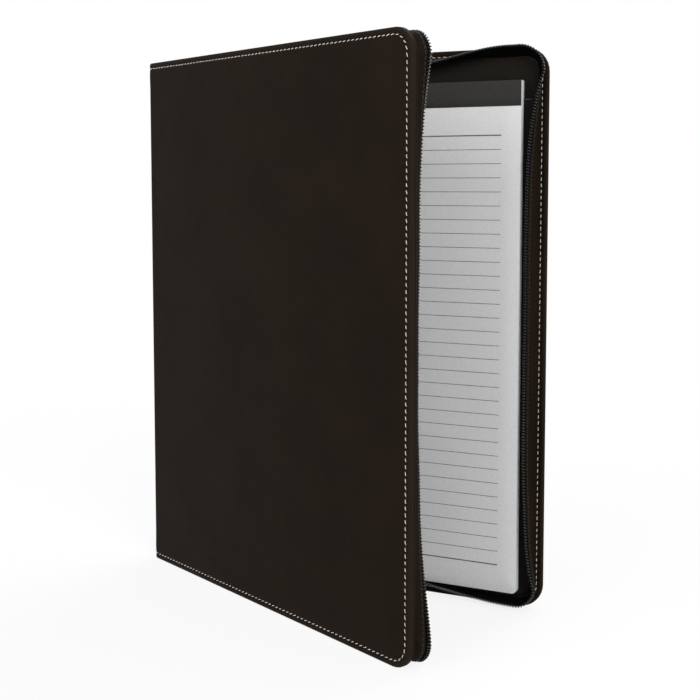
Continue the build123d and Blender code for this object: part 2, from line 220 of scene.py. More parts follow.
# %% [markdown]
# ### Leatherette
# The covers are a matt leatherette of a very dark brown. Close up it has a shallow pebble, with
# hair-fine pores between, and its turned edges are a shade paler where the coating is stretched.
# A photographed texture would blur close up and stretch at the folds, so nodes draw it: cell
# texture gives the pebble, noise gives the pores and the cloudy tone.

# %% Leatherette
PEBBLE_SCALE, PEBBLE_DEPTH = 760.0, 0.00016
PORE_SCALE, PORE_DEPTH = 3200.0, 0.00006
CLOUD_SCALE, CLOUD_DEPTH = 24.0, 0.0006
DEEP_BROWN, BROWN = colour(0.0068, 0.0040, 0.0021), colour(0.0088, 0.0052, 0.0028)
PORE_BROWN, RUBBED_BROWN = colour(0.0130, 0.0084, 0.0054), colour(0.0140, 0.0092, 0.0062)


def leatherette_finish():
    f = Finish("leatherette")
    pebble = f.cells(PEBBLE_SCALE)
    pores = f.noise(PORE_SCALE, 3.0)
    cloud = f.noise(CLOUD_SCALE, 3.0)
    brown = f.mix(f.spread(cloud, 0.3, 0.7), DEEP_BROWN, BROWN)
    speck = f.mix(f.spread(pores, 0.62, 0.8), brown, PORE_BROWN)
    rubbed = f.math("MULTIPLY", f.attribute("rim"), f.spread(cloud, 0.2, 0.6, 0.55, 1.0))
    worn = f.mix(rubbed, speck, RUBBED_BROWN)
    grain = f.bump(pebble, PEBBLE_DEPTH)
    grain = f.bump(pores, PORE_DEPTH, grain)
    grain = f.bump(cloud, CLOUD_DEPTH, grain)
    dull = f.spread(pores, 0.3, 0.7, 0.52, 0.68)
    return f.set(Base_Color=worn, Roughness=dull, Normal=grain, Specular_IOR_Level=0.04)


LEATHERETTE = leatherette_finish()
print("made", LEATHERETTE.name)

# %% [markdown]
# ### Thread
# The seams are sewn with a pale twisted polyester, the zipper and the hems with a dark one, and
# the tacks with a grey one. A thread could be modelled strand by strand, but it is only 0.4 mm
# thick, so its twist is a slanted wave in the colour and the bump.

# %% Thread
TWIST_SCALE, TWIST_DEPTH, TWIST_SLANT = 520.0, 0.00012, 0.55
FUZZ_SCALE = 5200.0


def thread_finish(name, dark, light):
    f = Finish(name)
    twist = f.bands(TWIST_SCALE, 0.4, place=f.stretched(1.0, TWIST_SLANT, 0.0))
    fuzz = f.noise(FUZZ_SCALE)
    strand = f.mix(f.spread(twist, 0.1, 0.9), dark, light)
    aged = f.mix(f.spread(f.noise(60.0), 0.55, 0.75, 0.0, 0.35), strand, dark)
    dull = f.spread(fuzz, 0.2, 0.8, 0.55, 0.8)
    return f.set(Base_Color=aged, Roughness=dull, Normal=f.bump(twist, TWIST_DEPTH))


PALE_THREAD = thread_finish("pale_thread", colour(0.40, 0.37, 0.33), colour(0.70, 0.67, 0.62))
DARK_THREAD = thread_finish(
    "dark_thread", colour(0.0036, 0.0027, 0.0021), colour(0.0105, 0.0080, 0.0064))
GREY_THREAD = thread_finish(
    "grey_thread", colour(0.110, 0.103, 0.092), colour(0.230, 0.220, 0.200))
print("made", PALE_THREAD.name, DARK_THREAD.name, GREY_THREAD.name)

# %% [markdown]
# ### Lining, tape and elastic
# The lining is a black plain weave, the zipper tape a finer one, and the pen loop a coarse
# elastic. Yarns in the mesh would cost millions of faces, so a weave is two waves that cross,
# multiplied, with a little lint over them.

# %% Lining, tape and elastic
WAVE_LENGTH = 0.314
WEAVE_DEPTH, SLACK_DEPTH = 0.00018, 0.0008
LINT_SCALE, SLACK_SCALE = 900.0, 45.0


def woven_finish(name, dark, light, pitch, gloss=0.12):
    f = Finish(name)
    weave = f.math("MULTIPLY", *(f.bands(WAVE_LENGTH / pitch, 0.6, way) for way in "XY"))
    lint = f.noise(LINT_SCALE, 3.0)
    tone = f.mix(f.spread(weave, 0.1, 0.8), dark, light)
    tone = f.mix(f.spread(lint, 0.6, 0.8, 0.0, 0.5), tone, light)
    rise = f.bump(weave, WEAVE_DEPTH)
    rise = f.bump(f.noise(SLACK_SCALE), SLACK_DEPTH, rise)
    rough = f.spread(lint, 0.2, 0.8, 0.7, 0.9)
    return f.set(Base_Color=tone, Roughness=rough, Normal=rise, Specular_IOR_Level=gloss)


LINING = woven_finish(
    "lining", colour(0.0075, 0.0058, 0.0046), colour(0.0140, 0.0108, 0.0086), pitch=0.00055)
TAPE = woven_finish(
    "zipper_tape", colour(0.0016, 0.0014, 0.0013), colour(0.0052, 0.0047, 0.0043),
    pitch=0.0004, gloss=0.03)
ELASTIC = woven_finish(
    "elastic", colour(0.003, 0.003, 0.003), colour(0.016, 0.015, 0.014), pitch=0.0008)
print("made", LINING.name, TAPE.name, ELASTIC.name)

# %% [markdown]
# ### Coil, enamel and wire
# The coil is black nylon, smoother than anything else here, so that each loop shows its own
# glint. The slider is a casting in black enamel, faintly mottled, and the staples are bare wire.
# These two could have a recipe each, but they differ only in colour and in their share of bare
# metal.

# %% Coil, enamel and wire
HAZE_SCALE, HAZE_DEPTH = 700.0, 0.00005
MOTTLE_SCALE, MOTTLE_DEPTH = 420.0, 0.00003
SCRATCH_STRETCH = (260.0, 2600.0, 900.0)


def nylon_finish():
    f = Finish("zipper_coil")
    haze = f.noise(HAZE_SCALE)
    black = f.mix(f.spread(haze, 0.3, 0.7),
                  colour(0.003, 0.0027, 0.0025), colour(0.007, 0.0064, 0.0059))
    return f.set(Base_Color=black, Roughness=f.spread(haze, 0.2, 0.8, 0.16, 0.28),
                 Normal=f.bump(haze, HAZE_DEPTH), Specular_IOR_Level=0.4)


def metal_finish(name, dark, light, bare):
    f = Finish(name, laid=False)
    mottle = f.noise(MOTTLE_SCALE, 4.0)
    scratch = f.noise(1.0, place=f.stretched(*SCRATCH_STRETCH))
    tone = f.mix(f.spread(mottle, 0.3, 0.7), dark, light)
    rough = f.spread(scratch, 0.3, 0.7, 0.24, 0.42)
    return f.set(Base_Color=tone, Metallic=bare, Roughness=rough,
                 Normal=f.bump(mottle, MOTTLE_DEPTH))


COIL = nylon_finish()
ENAMEL = metal_finish(
    "zipper_metal", colour(0.020, 0.0187, 0.0174), colour(0.036, 0.0337, 0.0315), bare=0.0)
WIRE = metal_finish("staple_wire", colour(0.45, 0.44, 0.42), colour(0.62, 0.61, 0.6), bare=1.0)
print("made", COIL.name, ENAMEL.name, WIRE.name)

# %% [markdown]
# ### Ruled paper
# The pad's paper is a cool white with a faint cockle, and its rules are printed, so they belong
# in the colour and not in the shape. Rules are evenly spaced lines of one axis: the distance to
# the nearest multiple of the spacing, cut to the written width and height of the block of rules.
# The first and last rule of the page are printed heavier.

# %% Ruled paper
PAD_START, PAD_END = 12.0, 228.0
PAD_FOOT, PAD_HEAD = 8.0, 287.4
RULE_FOOT, RULE_HEAD = 23.0, 258.5
RULE_COUNT = 32
RULE_MARGIN = 11.0
RULE_HALF_WIDTH, END_RULE_HALF_WIDTH = 0.00017, 0.00034
FIBRE_SCALE, FIBRE_DEPTH = 1500.0, 0.00003
COCKLE_SCALE, COCKLE_DEPTH = 14.0, 0.0012


def on_the_rules(f):
    """One on the printed rules, zero beside them."""
    pitch = (RULE_HEAD - RULE_FOOT) / (RULE_COUNT - 1) * MM
    count = f.math("DIVIDE", f.math("SUBTRACT", f.axis("Y"), RULE_FOOT * MM), pitch)
    nearest = f.math("ROUND", count)
    away = f.math("MULTIPLY", f.math("ABSOLUTE", f.math("SUBTRACT", count, nearest)), pitch)
    end_rule = f.math("MAXIMUM", f.math("LESS_THAN", nearest, 0.5),
                      f.math("GREATER_THAN", nearest, RULE_COUNT - 1.5))
    half_width = f.spread(end_rule, 0.0, 1.0, RULE_HALF_WIDTH, END_RULE_HALF_WIDTH)
    inked = f.math("LESS_THAN", away, half_width)
    for test, value, edge in (
        ("GREATER_THAN", f.axis("X"), (PAD_START + RULE_MARGIN) * MM),
        ("LESS_THAN", f.axis("X"), (PAD_END - RULE_MARGIN) * MM),
        ("GREATER_THAN", nearest, -0.5),
        ("LESS_THAN", nearest, RULE_COUNT - 0.5),
    ):
        inked = f.math("MULTIPLY", inked, f.math(test, value, edge))
    return f.math("MULTIPLY", inked, f.attribute("rim"))


def ruled_paper_finish():
    f = Finish("paper")
    fibre = f.noise(FIBRE_SCALE, 4.0)
    white = f.mix(f.spread(fibre, 0.35, 0.65),
                  colour(0.576, 0.580, 0.584), colour(0.634, 0.634, 0.634))
    ink = f.mix(f.spread(f.noise(400.0), 0.3, 0.7),
                colour(0.085, 0.085, 0.09), colour(0.14, 0.14, 0.145))
    tooth = f.bump(fibre, FIBRE_DEPTH)
    tooth = f.bump(f.noise(COCKLE_SCALE), COCKLE_DEPTH, tooth)
    return f.set(Base_Color=f.mix(on_the_rules(f), white, ink),
                 Roughness=f.spread(fibre, 0.3, 0.7, 0.75, 0.9),
                 Normal=tooth, Specular_IOR_Level=0.2)


PAPER = ruled_paper_finish()
print("made", PAPER.name, "with", RULE_COUNT, "rules")

# %% [markdown]
# ### Binding, card, board and foam
# The other papers, the boards and the foam hardly show, but they are seen when the folder opens.
# All are pressed fibre or fine cells of one tone, so one recipe of two noises serves them.

# %% Binding, card, board and foam
def fibrous_finish(name, dark, light, laid, depth=0.00008, scale=1100.0):
    f = Finish(name, laid)
    fibre = f.noise(scale, 5.0)
    cloud = f.noise(70.0)
    tone = f.mix(f.spread(fibre, 0.35, 0.7), dark, light)
    tone = f.mix(f.spread(cloud, 0.5, 0.8, 0.0, 0.4), tone, dark)
    return f.set(Base_Color=tone, Roughness=f.spread(fibre, 0.2, 0.8, 0.7, 0.9),
                 Normal=f.bump(fibre, depth), Specular_IOR_Level=0.25)


BINDING = fibrous_finish(
    "binding", colour(0.019, 0.0178, 0.0162), colour(0.029, 0.0277, 0.0255), laid=True)
CARD = fibrous_finish(
    "card", colour(0.16, 0.14, 0.115), colour(0.27, 0.245, 0.205), laid=False)
BOARD = fibrous_finish(
    "board", colour(0.12, 0.105, 0.085), colour(0.22, 0.2, 0.165), laid=False)
FOAM = fibrous_finish(
    "padding", colour(0.10, 0.10, 0.10), colour(0.2, 0.2, 0.2), laid=True,
    depth=0.0003, scale=700.0)
STIFFENER = fibrous_finish(
    "stiffener", colour(0.02, 0.02, 0.02), colour(0.05, 0.05, 0.05), laid=False)
print("made", BINDING.name, CARD.name, BOARD.name, FOAM.name, STIFFENER.name)

# %% [markdown]
# ## Making meshes
# Most pieces here are sheets or strips, so they are woven as grids of points and joined as quads.
# Modelling them by hand or with modifiers would be as good for one shape, but grids of numbers
# keep to the sizes above. A part is a tuple: its points in millimetres, its faces, where each
# point lies when laid flat, and how exposed each point is. `loft` makes one from a row of
# sections.

# %% Grids, rings and lofts
def quads(index):
    """Faces of a grid of point numbers."""
    a, b, c, d = index[:-1, :-1], index[1:, :-1], index[1:, 1:], index[:-1, 1:]
    return np.stack([a, b, c, d], -1).reshape(-1, 4).tolist()


def ring_quads(rows, around):
    """Faces of rows of points that each close on themselves, with an end face at either end."""
    index = np.arange(rows * around).reshape(rows, around)
    closed = np.concatenate([index, index[:, :1]], 1)
    return quads(closed) + [index[0][::-1].tolist(), index[-1].tolist()]


def loft(rows, laid, rim=0.0):
    """A closed part through sections of points: rows is stations x around x 3."""
    return rows, ring_quads(*rows.shape[:2]), laid, rim


def running_length(points):
    """The length of a line of points, up to each of them."""
    steps = np.linalg.norm(np.diff(points, axis=0), axis=1)
    return np.concatenate([[0.0], np.cumsum(steps)])


def unit(arrows):
    """Directions brought to a length of one."""
    return arrows / np.linalg.norm(arrows, axis=1)[:, None]


print("mesh helpers ready")

# %% [markdown]
# `make_piece` joins parts into one object and writes both attributes. The faces are turned
# outward by Blender, so no part has to care about the order of its corners. `place_piece` hides
# the solids that the piece stands for and hangs it on the body that carries it.

# %% From parts to pieces
SHARP_ANGLE = math.radians(42.0)


def make_piece(name, parts, finish):
    points, faces, laid, rim, start = [], [], [], [], 0
    for part_points, part_faces, part_laid, part_rim in parts:
        part_points = np.asarray(part_points, float).reshape(-1, 3)
        points.append(part_points)
        laid.append(np.asarray(part_laid, float).reshape(-1, 3))
        rim.append(np.broadcast_to(np.asarray(part_rim, float).ravel(), len(part_points)))
        faces += [[start + i for i in face] for face in part_faces]
        start += len(part_points)
    mesh = bpy.data.meshes.new(name)
    mesh.from_pydata((np.concatenate(points) * MM).tolist(), [], faces)
    mesh.attributes.new("laid", "FLOAT_VECTOR", "POINT").data.foreach_set(
        "vector", (np.concatenate(laid) * MM).astype(np.float32).ravel())
    mesh.attributes.new("rim", "FLOAT", "POINT").data.foreach_set(
        "value", np.concatenate(rim).astype(np.float32))
    work = bmesh.new()
    work.from_mesh(mesh)
    bmesh.ops.recalc_face_normals(work, faces=work.faces)
    work.to_mesh(mesh)
    work.free()
    mesh.shade_smooth()
    mesh.set_sharp_from_angle(angle=SHARP_ANGLE)
    mesh.materials.append(finish)
    piece = bpy.data.objects.new(name, mesh)
    bpy.context.scene.collection.objects.link(piece)
    print("made", name, len(mesh.vertices), "points", len(mesh.polygons), "faces")
    return piece


def place_piece(piece, body, nodes=()):
    if nodes:
        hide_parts(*nodes)
    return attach(piece, body)


print("pieces get a hard edge from", round(math.degrees(SHARP_ANGLE)), "degrees on")

# %% [markdown]
# ## The leatherette wrap
# One hide goes all round: rear cover, spine and front cover, turned in at the edges. It is made
# as two halves that meet on the middle line of the spine, because each half bends at one fold
# only and a piece can follow just two bodies. Seen from above, a half is a line: the spine's arc,
# a soft bend at the fold, then the cover. The lining runs on a line of its own, further in.

# %% A line seen from above
class Line:
    """A line in plan with its length, its points and its inward direction."""

    def __init__(self, points):
        self.points = np.asarray(points, float)
        self.length = running_length(self.points)
        ahead = unit(np.gradient(self.points, self.length, axis=0))
        self.inward = np.stack([ahead[:, 1], -ahead[:, 0]], 1)

    def at(self, side, s, depth, z):
        """Points at length s, pushed inward by depth, in millimetres of the frame."""
        s, depth, z = alike(s, depth, z)
        place = [np.interp(s, self.length, self.points[:, i]) for i in (0, 1)]
        push = [np.interp(s, self.length, self.inward[:, i]) for i in (0, 1)]
        x, y = (p + depth * n for p, n in zip(place, push))
        return np.stack([x, side * y, z], -1)

    def nearest(self, x, y):
        """Length at which the line passes closest to a place."""
        return self.length[np.argmin(np.hypot(self.points[:, 0] - x, self.points[:, 1] - y))]


print("lines give places by length, depth and height")

# %% The lines of the hide and of the lining
SPINE_RADIUS = 26.0
ARC_HALF = math.asin(SPINE_HALF / SPINE_RADIUS)
FOLD_REACH = 2.4
LINING_TOP = 3.4
LINING_INSET = 5.0
SPINE_LINING_DEPTH = 2.0
GUTTER_ARC, GUTTER_REACH = 4.6, 4.4
GUTTER_CORNER = (fold_x + 1.0, 6.9)
COVER_SAMPLES = 300


def bend(first, middle, last, count=40):
    """A smooth turn between two places, drawn towards the corner, without its two ends."""
    t = np.linspace(0, 1, count)[1:-1, None]
    first, middle, last = (np.asarray(p, float) for p in (first, middle, last))
    return (1 - t) ** 2 * first + 2 * t * (1 - t) * middle + t**2 * last


def spine_places(radius, angles):
    centre = fold_x + SPINE_RADIUS * math.cos(ARC_HALF)
    return np.stack([centre - radius * np.cos(angles), radius * np.sin(angles)], 1)


def cover_places(u, v):
    return cover_point(REAR, u, v, 0.0)[..., :2]


def folded_line(spine, corner, reach, depth):
    """The line from the spine's middle, round the fold and along a cover at one depth."""
    turn = bend(spine[-1], corner, cover_places(reach, depth))
    cover = cover_places(np.linspace(reach, COVER_WIDTH, COVER_SAMPLES), depth)
    return Line(np.concatenate([spine, turn, cover]))


hide_arc = np.linspace(0, ARC_HALF - FOLD_REACH / SPINE_RADIUS, 60)
HIDE = folded_line(spine_places(SPINE_RADIUS, hide_arc), (fold_x, SPINE_HALF), FOLD_REACH, 0.0)
lining_radius = SPINE_RADIUS - SPINE_LINING_DEPTH
lining_arc = np.linspace(0, GUTTER_ARC / lining_radius, 30)
LINING_LINE = folded_line(
    spine_places(lining_radius, lining_arc), GUTTER_CORNER, GUTTER_REACH, LINING_TOP)
hide_fold = HIDE.nearest(fold_x, SPINE_HALF)
hide_end = HIDE.length[-1]
print("half the hide is", round(hide_end, 1), "mm long, with its fold at", round(hide_fold, 2))

# %% [markdown]
# A sheet is a plain grid inside rings. The rings run round its three free edges for the turned
# rim and for the groove that the stitching pulls in. A ring keeps one distance from the edges.
# Its corners are arcs, but the innermost ring has square corners, so that the grid fits inside
# it. Points are counted alike on every ring, and joining ring to ring then needs no special
# cases.

# %% Rings round a sheet
BEND_STEPS = 4
BEND_SPACING = 3.0
INNER_RING = 16.0
UNSQUEEZED = 0.7


def steps_to(stops, most):
    """Numbers through every stop, with no step longer than the most."""
    marks = [stops[0]]
    for stop in stops[1:]:
        count = max(1, math.ceil((stop - marks[-1]) / most))
        marks += list(np.linspace(marks[-1], stop, count + 1)[1:])
    return np.array(marks)


def sheet_path(end, low, high, corner, along, up, inset):
    """Places (s, z) once round the bottom, free side and top of a sheet at one inset."""
    quarter = np.linspace(0, math.pi / 2, 2 * BEND_STEPS + 1)
    radius = corner - inset
    s_bend, z_low, z_high = end - corner, low + corner, high - corner
    foot = [(s, low + inset) for s in along]
    foot += [(s_bend + radius * math.sin(a), z_low - radius * math.cos(a)) for a in quarter[1:]]
    side = [(end - inset, z) for z in up[1:]]
    head = [(s_bend + radius * math.cos(a), z_high + radius * math.sin(a)) for a in quarter[1:]]
    head += [(s, high - inset) for s in along[-2::-1]]
    return np.array(foot + side + head)


def square_path(end, low, high, along, up):
    """The innermost ring, and the grid lines that it carries."""
    step = np.arange(1, BEND_STEPS + 1) * BEND_SPACING
    last = end - INNER_RING
    easy = UNSQUEEZED * along[-1]
    squeeze = (last - step[-1] - easy) / (along[-1] - easy)
    s_lines = np.where(along < easy, along, easy + (along - easy) * squeeze)
    s_lines = np.concatenate([s_lines, last - step[::-1][1:], [last]])
    middle = (low + high) / 2
    half = (high - low) / 2 - INNER_RING
    z_lines = middle + (up - middle) * (half - step[-1]) / (up[-1] - middle)
    z_lines = np.concatenate([[middle - half], middle - half + step[:-1], z_lines,
                              middle + half - step[::-1][1:], [middle + half]])
    path = [(s, z_lines[0]) for s in s_lines] + [(last, z) for z in z_lines[1:]]
    path += [(s, z_lines[-1]) for s in s_lines[-2::-1]]
    return np.array(path), s_lines, z_lines


print("rings have", 2 * BEND_STEPS, "steps round a corner")

# %% A sheet with a turned rim
RUBBED_REACH = 2.2


def turned_sheet(side, line, end, low, high, corner, along, up, rings, back, swell):
    """A closed sheet: back grid, rings of (inset, depth) round the rim, front grid."""
    square, s_lines, z_lines = square_path(end, low, high, along, up)
    around, columns, lines = len(square), len(s_lines), len(z_lines)
    paths, depths, rims = [square], [np.full(around, back)], [np.zeros(around)]
    for inset, depth in rings:
        paths.append(sheet_path(end, low, high, corner, along, up, inset))
        depths.append(np.full(around, depth))
        rims.append(np.full(around, max(0.0, 1 - inset / RUBBED_REACH)))
    paths, depths, rims = paths + [square], depths + [swell(*square.T)], rims + [np.zeros(around)]
    index = np.arange(len(paths) * around).reshape(-1, around)
    faces, total, edges = quads(index), index.size, []
    inside = [(i, j) for i in range(columns - 1) for j in range(1, lines - 1)]
    filling = np.array([(s_lines[i], z_lines[j]) for i, j in inside])
    for ring, level in ((index[0], np.full(len(inside), back)), (index[-1], swell(*filling.T))):
        grid = np.full((columns, lines), -1)
        grid[:, 0] = ring[:columns]
        grid[-1, :] = ring[columns - 1:columns - 1 + lines]
        grid[:, -1] = ring[columns + lines - 2:][::-1]
        for number, (i, j) in enumerate(inside):
            grid[i, j] = total + number
        total += len(inside)
        paths, depths, rims = paths + [filling], depths + [level], rims + [np.zeros(len(inside))]
        faces += quads(grid)
        edges.append(grid[0])
    back_edge, front_edge = edges
    faces += quads(np.stack([front_edge, back_edge], 1))
    faces += [index[:, 0].tolist(), index[:, -1].tolist()]
    path, depth = np.concatenate(paths), np.concatenate(depths)
    points = line.at(side, path[:, 0], depth, path[:, 1])
    return points, faces, np.column_stack([path, depth]), np.concatenate(rims)


print("sheet helper ready")

# %% [markdown]
# The rim's section is written as pairs of inset and depth, from the inner lip, round the edge,
# over the small bead that the turned hide makes, and down into the stitched groove. The cover's
# face beyond it swells a little over the foam. At the head and foot of the spine the turned-in
# edge shows on the inside too, so a narrow margin of hide closes the gap between rim and lining
# there.

# %% Shape the hide
RIM_SECTION = [
    (1.0, 0.9), (1.0, 2.7), (0.6, 2.82), (0.25, 2.76), (0.05, 2.5), (0.0, 2.0), (0.0, 1.3),
    (0.08, 0.8), (0.3, 0.38), (0.7, 0.12), (1.3, 0.0), (2.0, -0.05), (2.7, 0.02), (3.15, 0.16),
    (3.5, 0.24), (3.85, 0.16), (4.3, 0.02), (5.2, -0.08), (8.0, -0.14),
]
HIDE_BACK = 0.9
HIDE_SEEDS = {REAR: 2.3, FRONT: 1.0}
SWELL, SWELL_WAVE = 0.14, 0.07
SWELL_START, SWELL_RUN = 6.0, 24.0
LONG_WAVES, CROSS_WAVES, CROSS_SHARE = (31.0, 43.0), (17.0, 29.0), 0.6
MARGIN_END, MARGIN_EDGE = 6.4, 0.8
MARGIN_BACK, MARGIN_LIP, MARGIN_EASE = -0.45, -0.08, 0.3
hide_along = np.concatenate([  # the lines stand closer round the fold
    steps_to([0.0, hide_fold - 4.0], most=2.0),
    steps_to([hide_fold - 3.4, hide_fold + 3.4], most=0.55),
    steps_to([hide_fold + 4.4, hide_fold + 12.0, hide_end - CORNER], most=7.5),
])
hide_up = steps_to([CORNER, COVER_HEIGHT - CORNER], most=7.5)


def hide_swell(seed):
    def swell(s, z):
        past_fold = np.clip((s - hide_fold - SWELL_START) / SWELL_RUN, 0, 1)
        wave = np.sin(s / LONG_WAVES[0] + seed) * np.sin(z / LONG_WAVES[1] + 2 * seed)
        wave = wave + CROSS_SHARE * np.sin(s / CROSS_WAVES[0] - z / CROSS_WAVES[1] + seed)
        return -(SWELL + SWELL_WAVE * wave) * past_fold
    return swell


def turned_margin(side, inner, outer):
    """The turned-in edge between rim and lining, from the spine to where the strip begins."""
    s = steps_to([0.0, LINING_LINE.nearest(*cover_places(MARGIN_END, LINING_TOP))], most=0.6)
    eased = inner + math.copysign(MARGIN_EASE, outer - inner)
    section = [(inner, MARGIN_BACK), (inner, MARGIN_LIP), (eased, 0.0), (outer, 0.0),
               (outer, MARGIN_BACK)]
    rows = np.stack([LINING_LINE.at(side, s, depth, z) for z, depth in section], 1)
    return loft(rows, np.array([[(mark, z, depth) for z, depth in section] for mark in s]))


def make_hide(side):
    part = turned_sheet(side, HIDE, hide_end, 0.0, COVER_HEIGHT, CORNER, hide_along, hide_up,
                        RIM_SECTION, HIDE_BACK, hide_swell(HIDE_SEEDS[side]))
    head = turned_margin(side, COVER_HEIGHT - LINING_INSET, COVER_HEIGHT - MARGIN_EDGE)
    foot = turned_margin(side, LINING_INSET, MARGIN_EDGE)
    return make_piece(named(side, "hide"), [part, head, foot], LEATHERETTE)


print("the hide's grid has", len(hide_along), "x", len(hide_up), "lines")

# %% [markdown]
# Each half keeps its place, and the solids of the skins that it stands for are hidden.

# %% Make the two halves of the hide
HIDE_BEND_REACH = 3.2


def follow_fold(piece, side, line, fold_length, reach, nodes=()):
    """Hide the solids that a piece stands for and set its place into its points; the two ends of
    its fold are found but not used.
    """
    start = line.at(side, fold_length - reach, 0.0, COVER_HEIGHT / 2) * MM
    end = line.at(side, fold_length + reach, 0.0, COVER_HEIGHT / 2) * MM
    if nodes:
        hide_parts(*nodes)
    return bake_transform(piece)


for side in (REAR, FRONT):
    hide = make_hide(side)
    follow_fold(hide, side, HIDE, hide_fold, HIDE_BEND_REACH,
                (named(side, "cover_skin"), "spine_skin"))

# %% [markdown]
# ## Foam under the hide
# A thin sheet of foam between hide and board gives the covers their soft face. It hardly shows,
# but the solids have it, and soft solids are not left as blocks. A cloth simulation would only
# swell it into its neighbours, so the same turned sheet makes it, with rounded edges.

# %% Make the foam
FOAM_FACE, FOAM_BACK = 0.93, 1.48
FOAM_RINGS = [(1.3, 1.48), (1.15, 1.4), (1.12, 1.2), (1.2, 1.0), (1.6, 0.94)]
FOAM_START = hide_fold + 4.0


def make_foam(side):
    along = steps_to([FOAM_START, hide_end - CORNER], most=12.0)
    part = turned_sheet(side, HIDE, hide_end, 0.0, COVER_HEIGHT, CORNER, along, hide_up,
                        FOAM_RINGS, FOAM_BACK, lambda s, z: np.full(len(s), FOAM_FACE))
    return make_piece(named(side, "foam"), [part], FOAM)


for side in (REAR, FRONT):
    foam = make_foam(side)
    place_piece(foam, named(side, "cover"), [named(side, "cover_padding")])

# %% [markdown]
# ## Stitching
# A row of saddle stitches follows the edge, 3.5 mm in, each a short pale thread that dips into
# the hide at both ends and lies a little aslant, as the needle leaves it. Drawing them as a
# texture would leave nothing to catch the light, so every stitch is a small tapered tube. One
# template is copied along the row by array arithmetic, which is far quicker than adding objects
# one by one.

# %% Stitches along a row
STITCH_PITCH = 3.3
STITCH_LENGTH = 2.1
SLANT_SPREAD, LENGTH_SPREAD = 0.035, 0.05
STITCH_SECTION = [  # place along half the stitch, lift and girth, both in radii
    (-1.0, -1.5, 0.5), (-0.86, -0.45, 0.86), (-0.5, 0.25, 1.0), (0.0, 0.42, 1.0),
    (0.5, 0.25, 1.0), (0.86, -0.45, 0.86), (1.0, -1.5, 0.5),
]
random_stitch = np.random.default_rng(7)


def spaced(points, pitch, outward):
    """Middles along a line of points at an even pitch, with the ways ahead and outward there."""
    length = running_length(points)
    count = max(2, int(round(length[-1] / pitch)))
    marks = (np.arange(count) + 0.5) * length[-1] / count

    def pick(values):
        return np.stack([np.interp(marks, length, values[:, i]) for i in range(3)], 1)
    return pick(points), unit(pick(np.gradient(points, length, axis=0))), pick(outward)


def stitch_row(places, outward, pitch=STITCH_PITCH, length=STITCH_LENGTH, radius=0.2, sides=6,
               tilt=0.05):
    """Short threads along a line of places, standing out along the outward direction."""
    middle, ahead, out = spaced(places, pitch, outward)
    out = unit(out - ahead * (out * ahead).sum(1)[:, None])
    across = np.cross(ahead, out)
    count = len(middle)
    slant = random_stitch.normal(0.0, SLANT_SPREAD, count)[:, None] + tilt
    ahead, across = ahead + across * slant, across - ahead * slant
    stretch = random_stitch.normal(1.0, LENGTH_SPREAD, count)
    share, lift, girth = np.array(STITCH_SECTION).T
    along, lift, girth = share * length / 2, lift * radius, girth * radius
    turn = np.arange(sides) * 2 * math.pi / sides
    rows = len(along)
    x = np.repeat(along, sides)[None, :, None] * stretch[:, None, None]
    h = np.repeat(lift, sides) + np.repeat(girth, sides) * np.tile(np.cos(turn), rows)
    b = np.repeat(girth, sides) * np.tile(np.sin(turn), rows)
    points = (middle[:, None] + ahead[:, None] * x + out[:, None] * h[None, :, None]
              + across[:, None] * b[None, :, None])
    one = ring_quads(rows, sides)
    faces = [[k * rows * sides + i for i in face] for k in range(count) for face in one]
    laid = np.zeros((count, rows * sides, 3))
    laid[:, :, 0] = np.repeat(along, sides) + np.arange(count)[:, None] * pitch
    laid[:, :, 1] = np.tile(turn, rows) * radius
    return points, faces, laid, 0.0


print("one stitch every", STITCH_PITCH, "mm")

# %% [markdown]
# The outer row uses the ring of the sheet that lies in the groove, so it can't wander off the
# rim.

# %% Stitches round the covers
STITCH_INSET, STITCH_DEPTH, STITCH_START = 3.5, 0.12, 0.4
SADDLE_TILT = -0.25


def edge_row(side):
    """Places and outward directions along the three free edges of the hide."""
    along = steps_to([STITCH_START, hide_end - CORNER], most=1.5)
    up = steps_to([CORNER, COVER_HEIGHT - CORNER], most=4.0)
    s, z = sheet_path(hide_end, 0.0, COVER_HEIGHT, CORNER, along, up, STITCH_INSET).T
    places = HIDE.at(side, s, STITCH_DEPTH, z)
    return places, HIDE.at(side, s, STITCH_DEPTH - 1.0, z) - places


for side in (REAR, FRONT):
    row = stitch_row(*edge_row(side), tilt=SADDLE_TILT)
    stitching = make_piece(named(side, "stitching"), [row], PALE_THREAD)
    follow_fold(stitching, side, HIDE, hide_fold, HIDE_BEND_REACH)

# %% [markdown]
# ## The standing strips
# Inside each edge a strip of leatherette stands up and carries half of the zipper. Near the spine
# it is straight and low, so that the closed chain runs level. Further out it leans in, and it
# flares out again round the free corners, because the zipper's edge is shorter than the strip's
# foot there. It could be pulled into shape by hand, but the lean is a formula of the distance
# along the seam, the same that shaped the solid, so the two agree.

# %% The seam and the lean of the strips
FACING_TOP = 3.6
CLOSED_TURN = math.radians(1.4)
SEAM_INSET = 3.5
STRIP_START = 6.5
STRIP_WIDTH = 10.0
LEVEL_END, LEAN_FULL_AT, WIDTH_FULL_AT = 75.0, 140.0, 190.0
RUN_LEAN = -28.0
FLOOR_FLARE = 13.0
FLARE_FADE = 28.0
FLARE_FROM, FLARE_FULL = 160.0, 222.0
LEANS = {REAR: (-36.0, 27.0, 10.0), FRONT: (-29.0, 16.0, 41.0)}
COIL_LENGTH = 2.5
COIL_GAP = 0.8
TAPE_BY_SLIDER, TAPE_BEYOND = 2.5, -0.2
run_length = COVER_WIDTH - CORNER - STRIP_START
bend_length = (CORNER - SEAM_INSET) * math.pi / 2
seam_length = 2 * run_length + 2 * bend_length + COVER_HEIGHT - 2 * CORNER


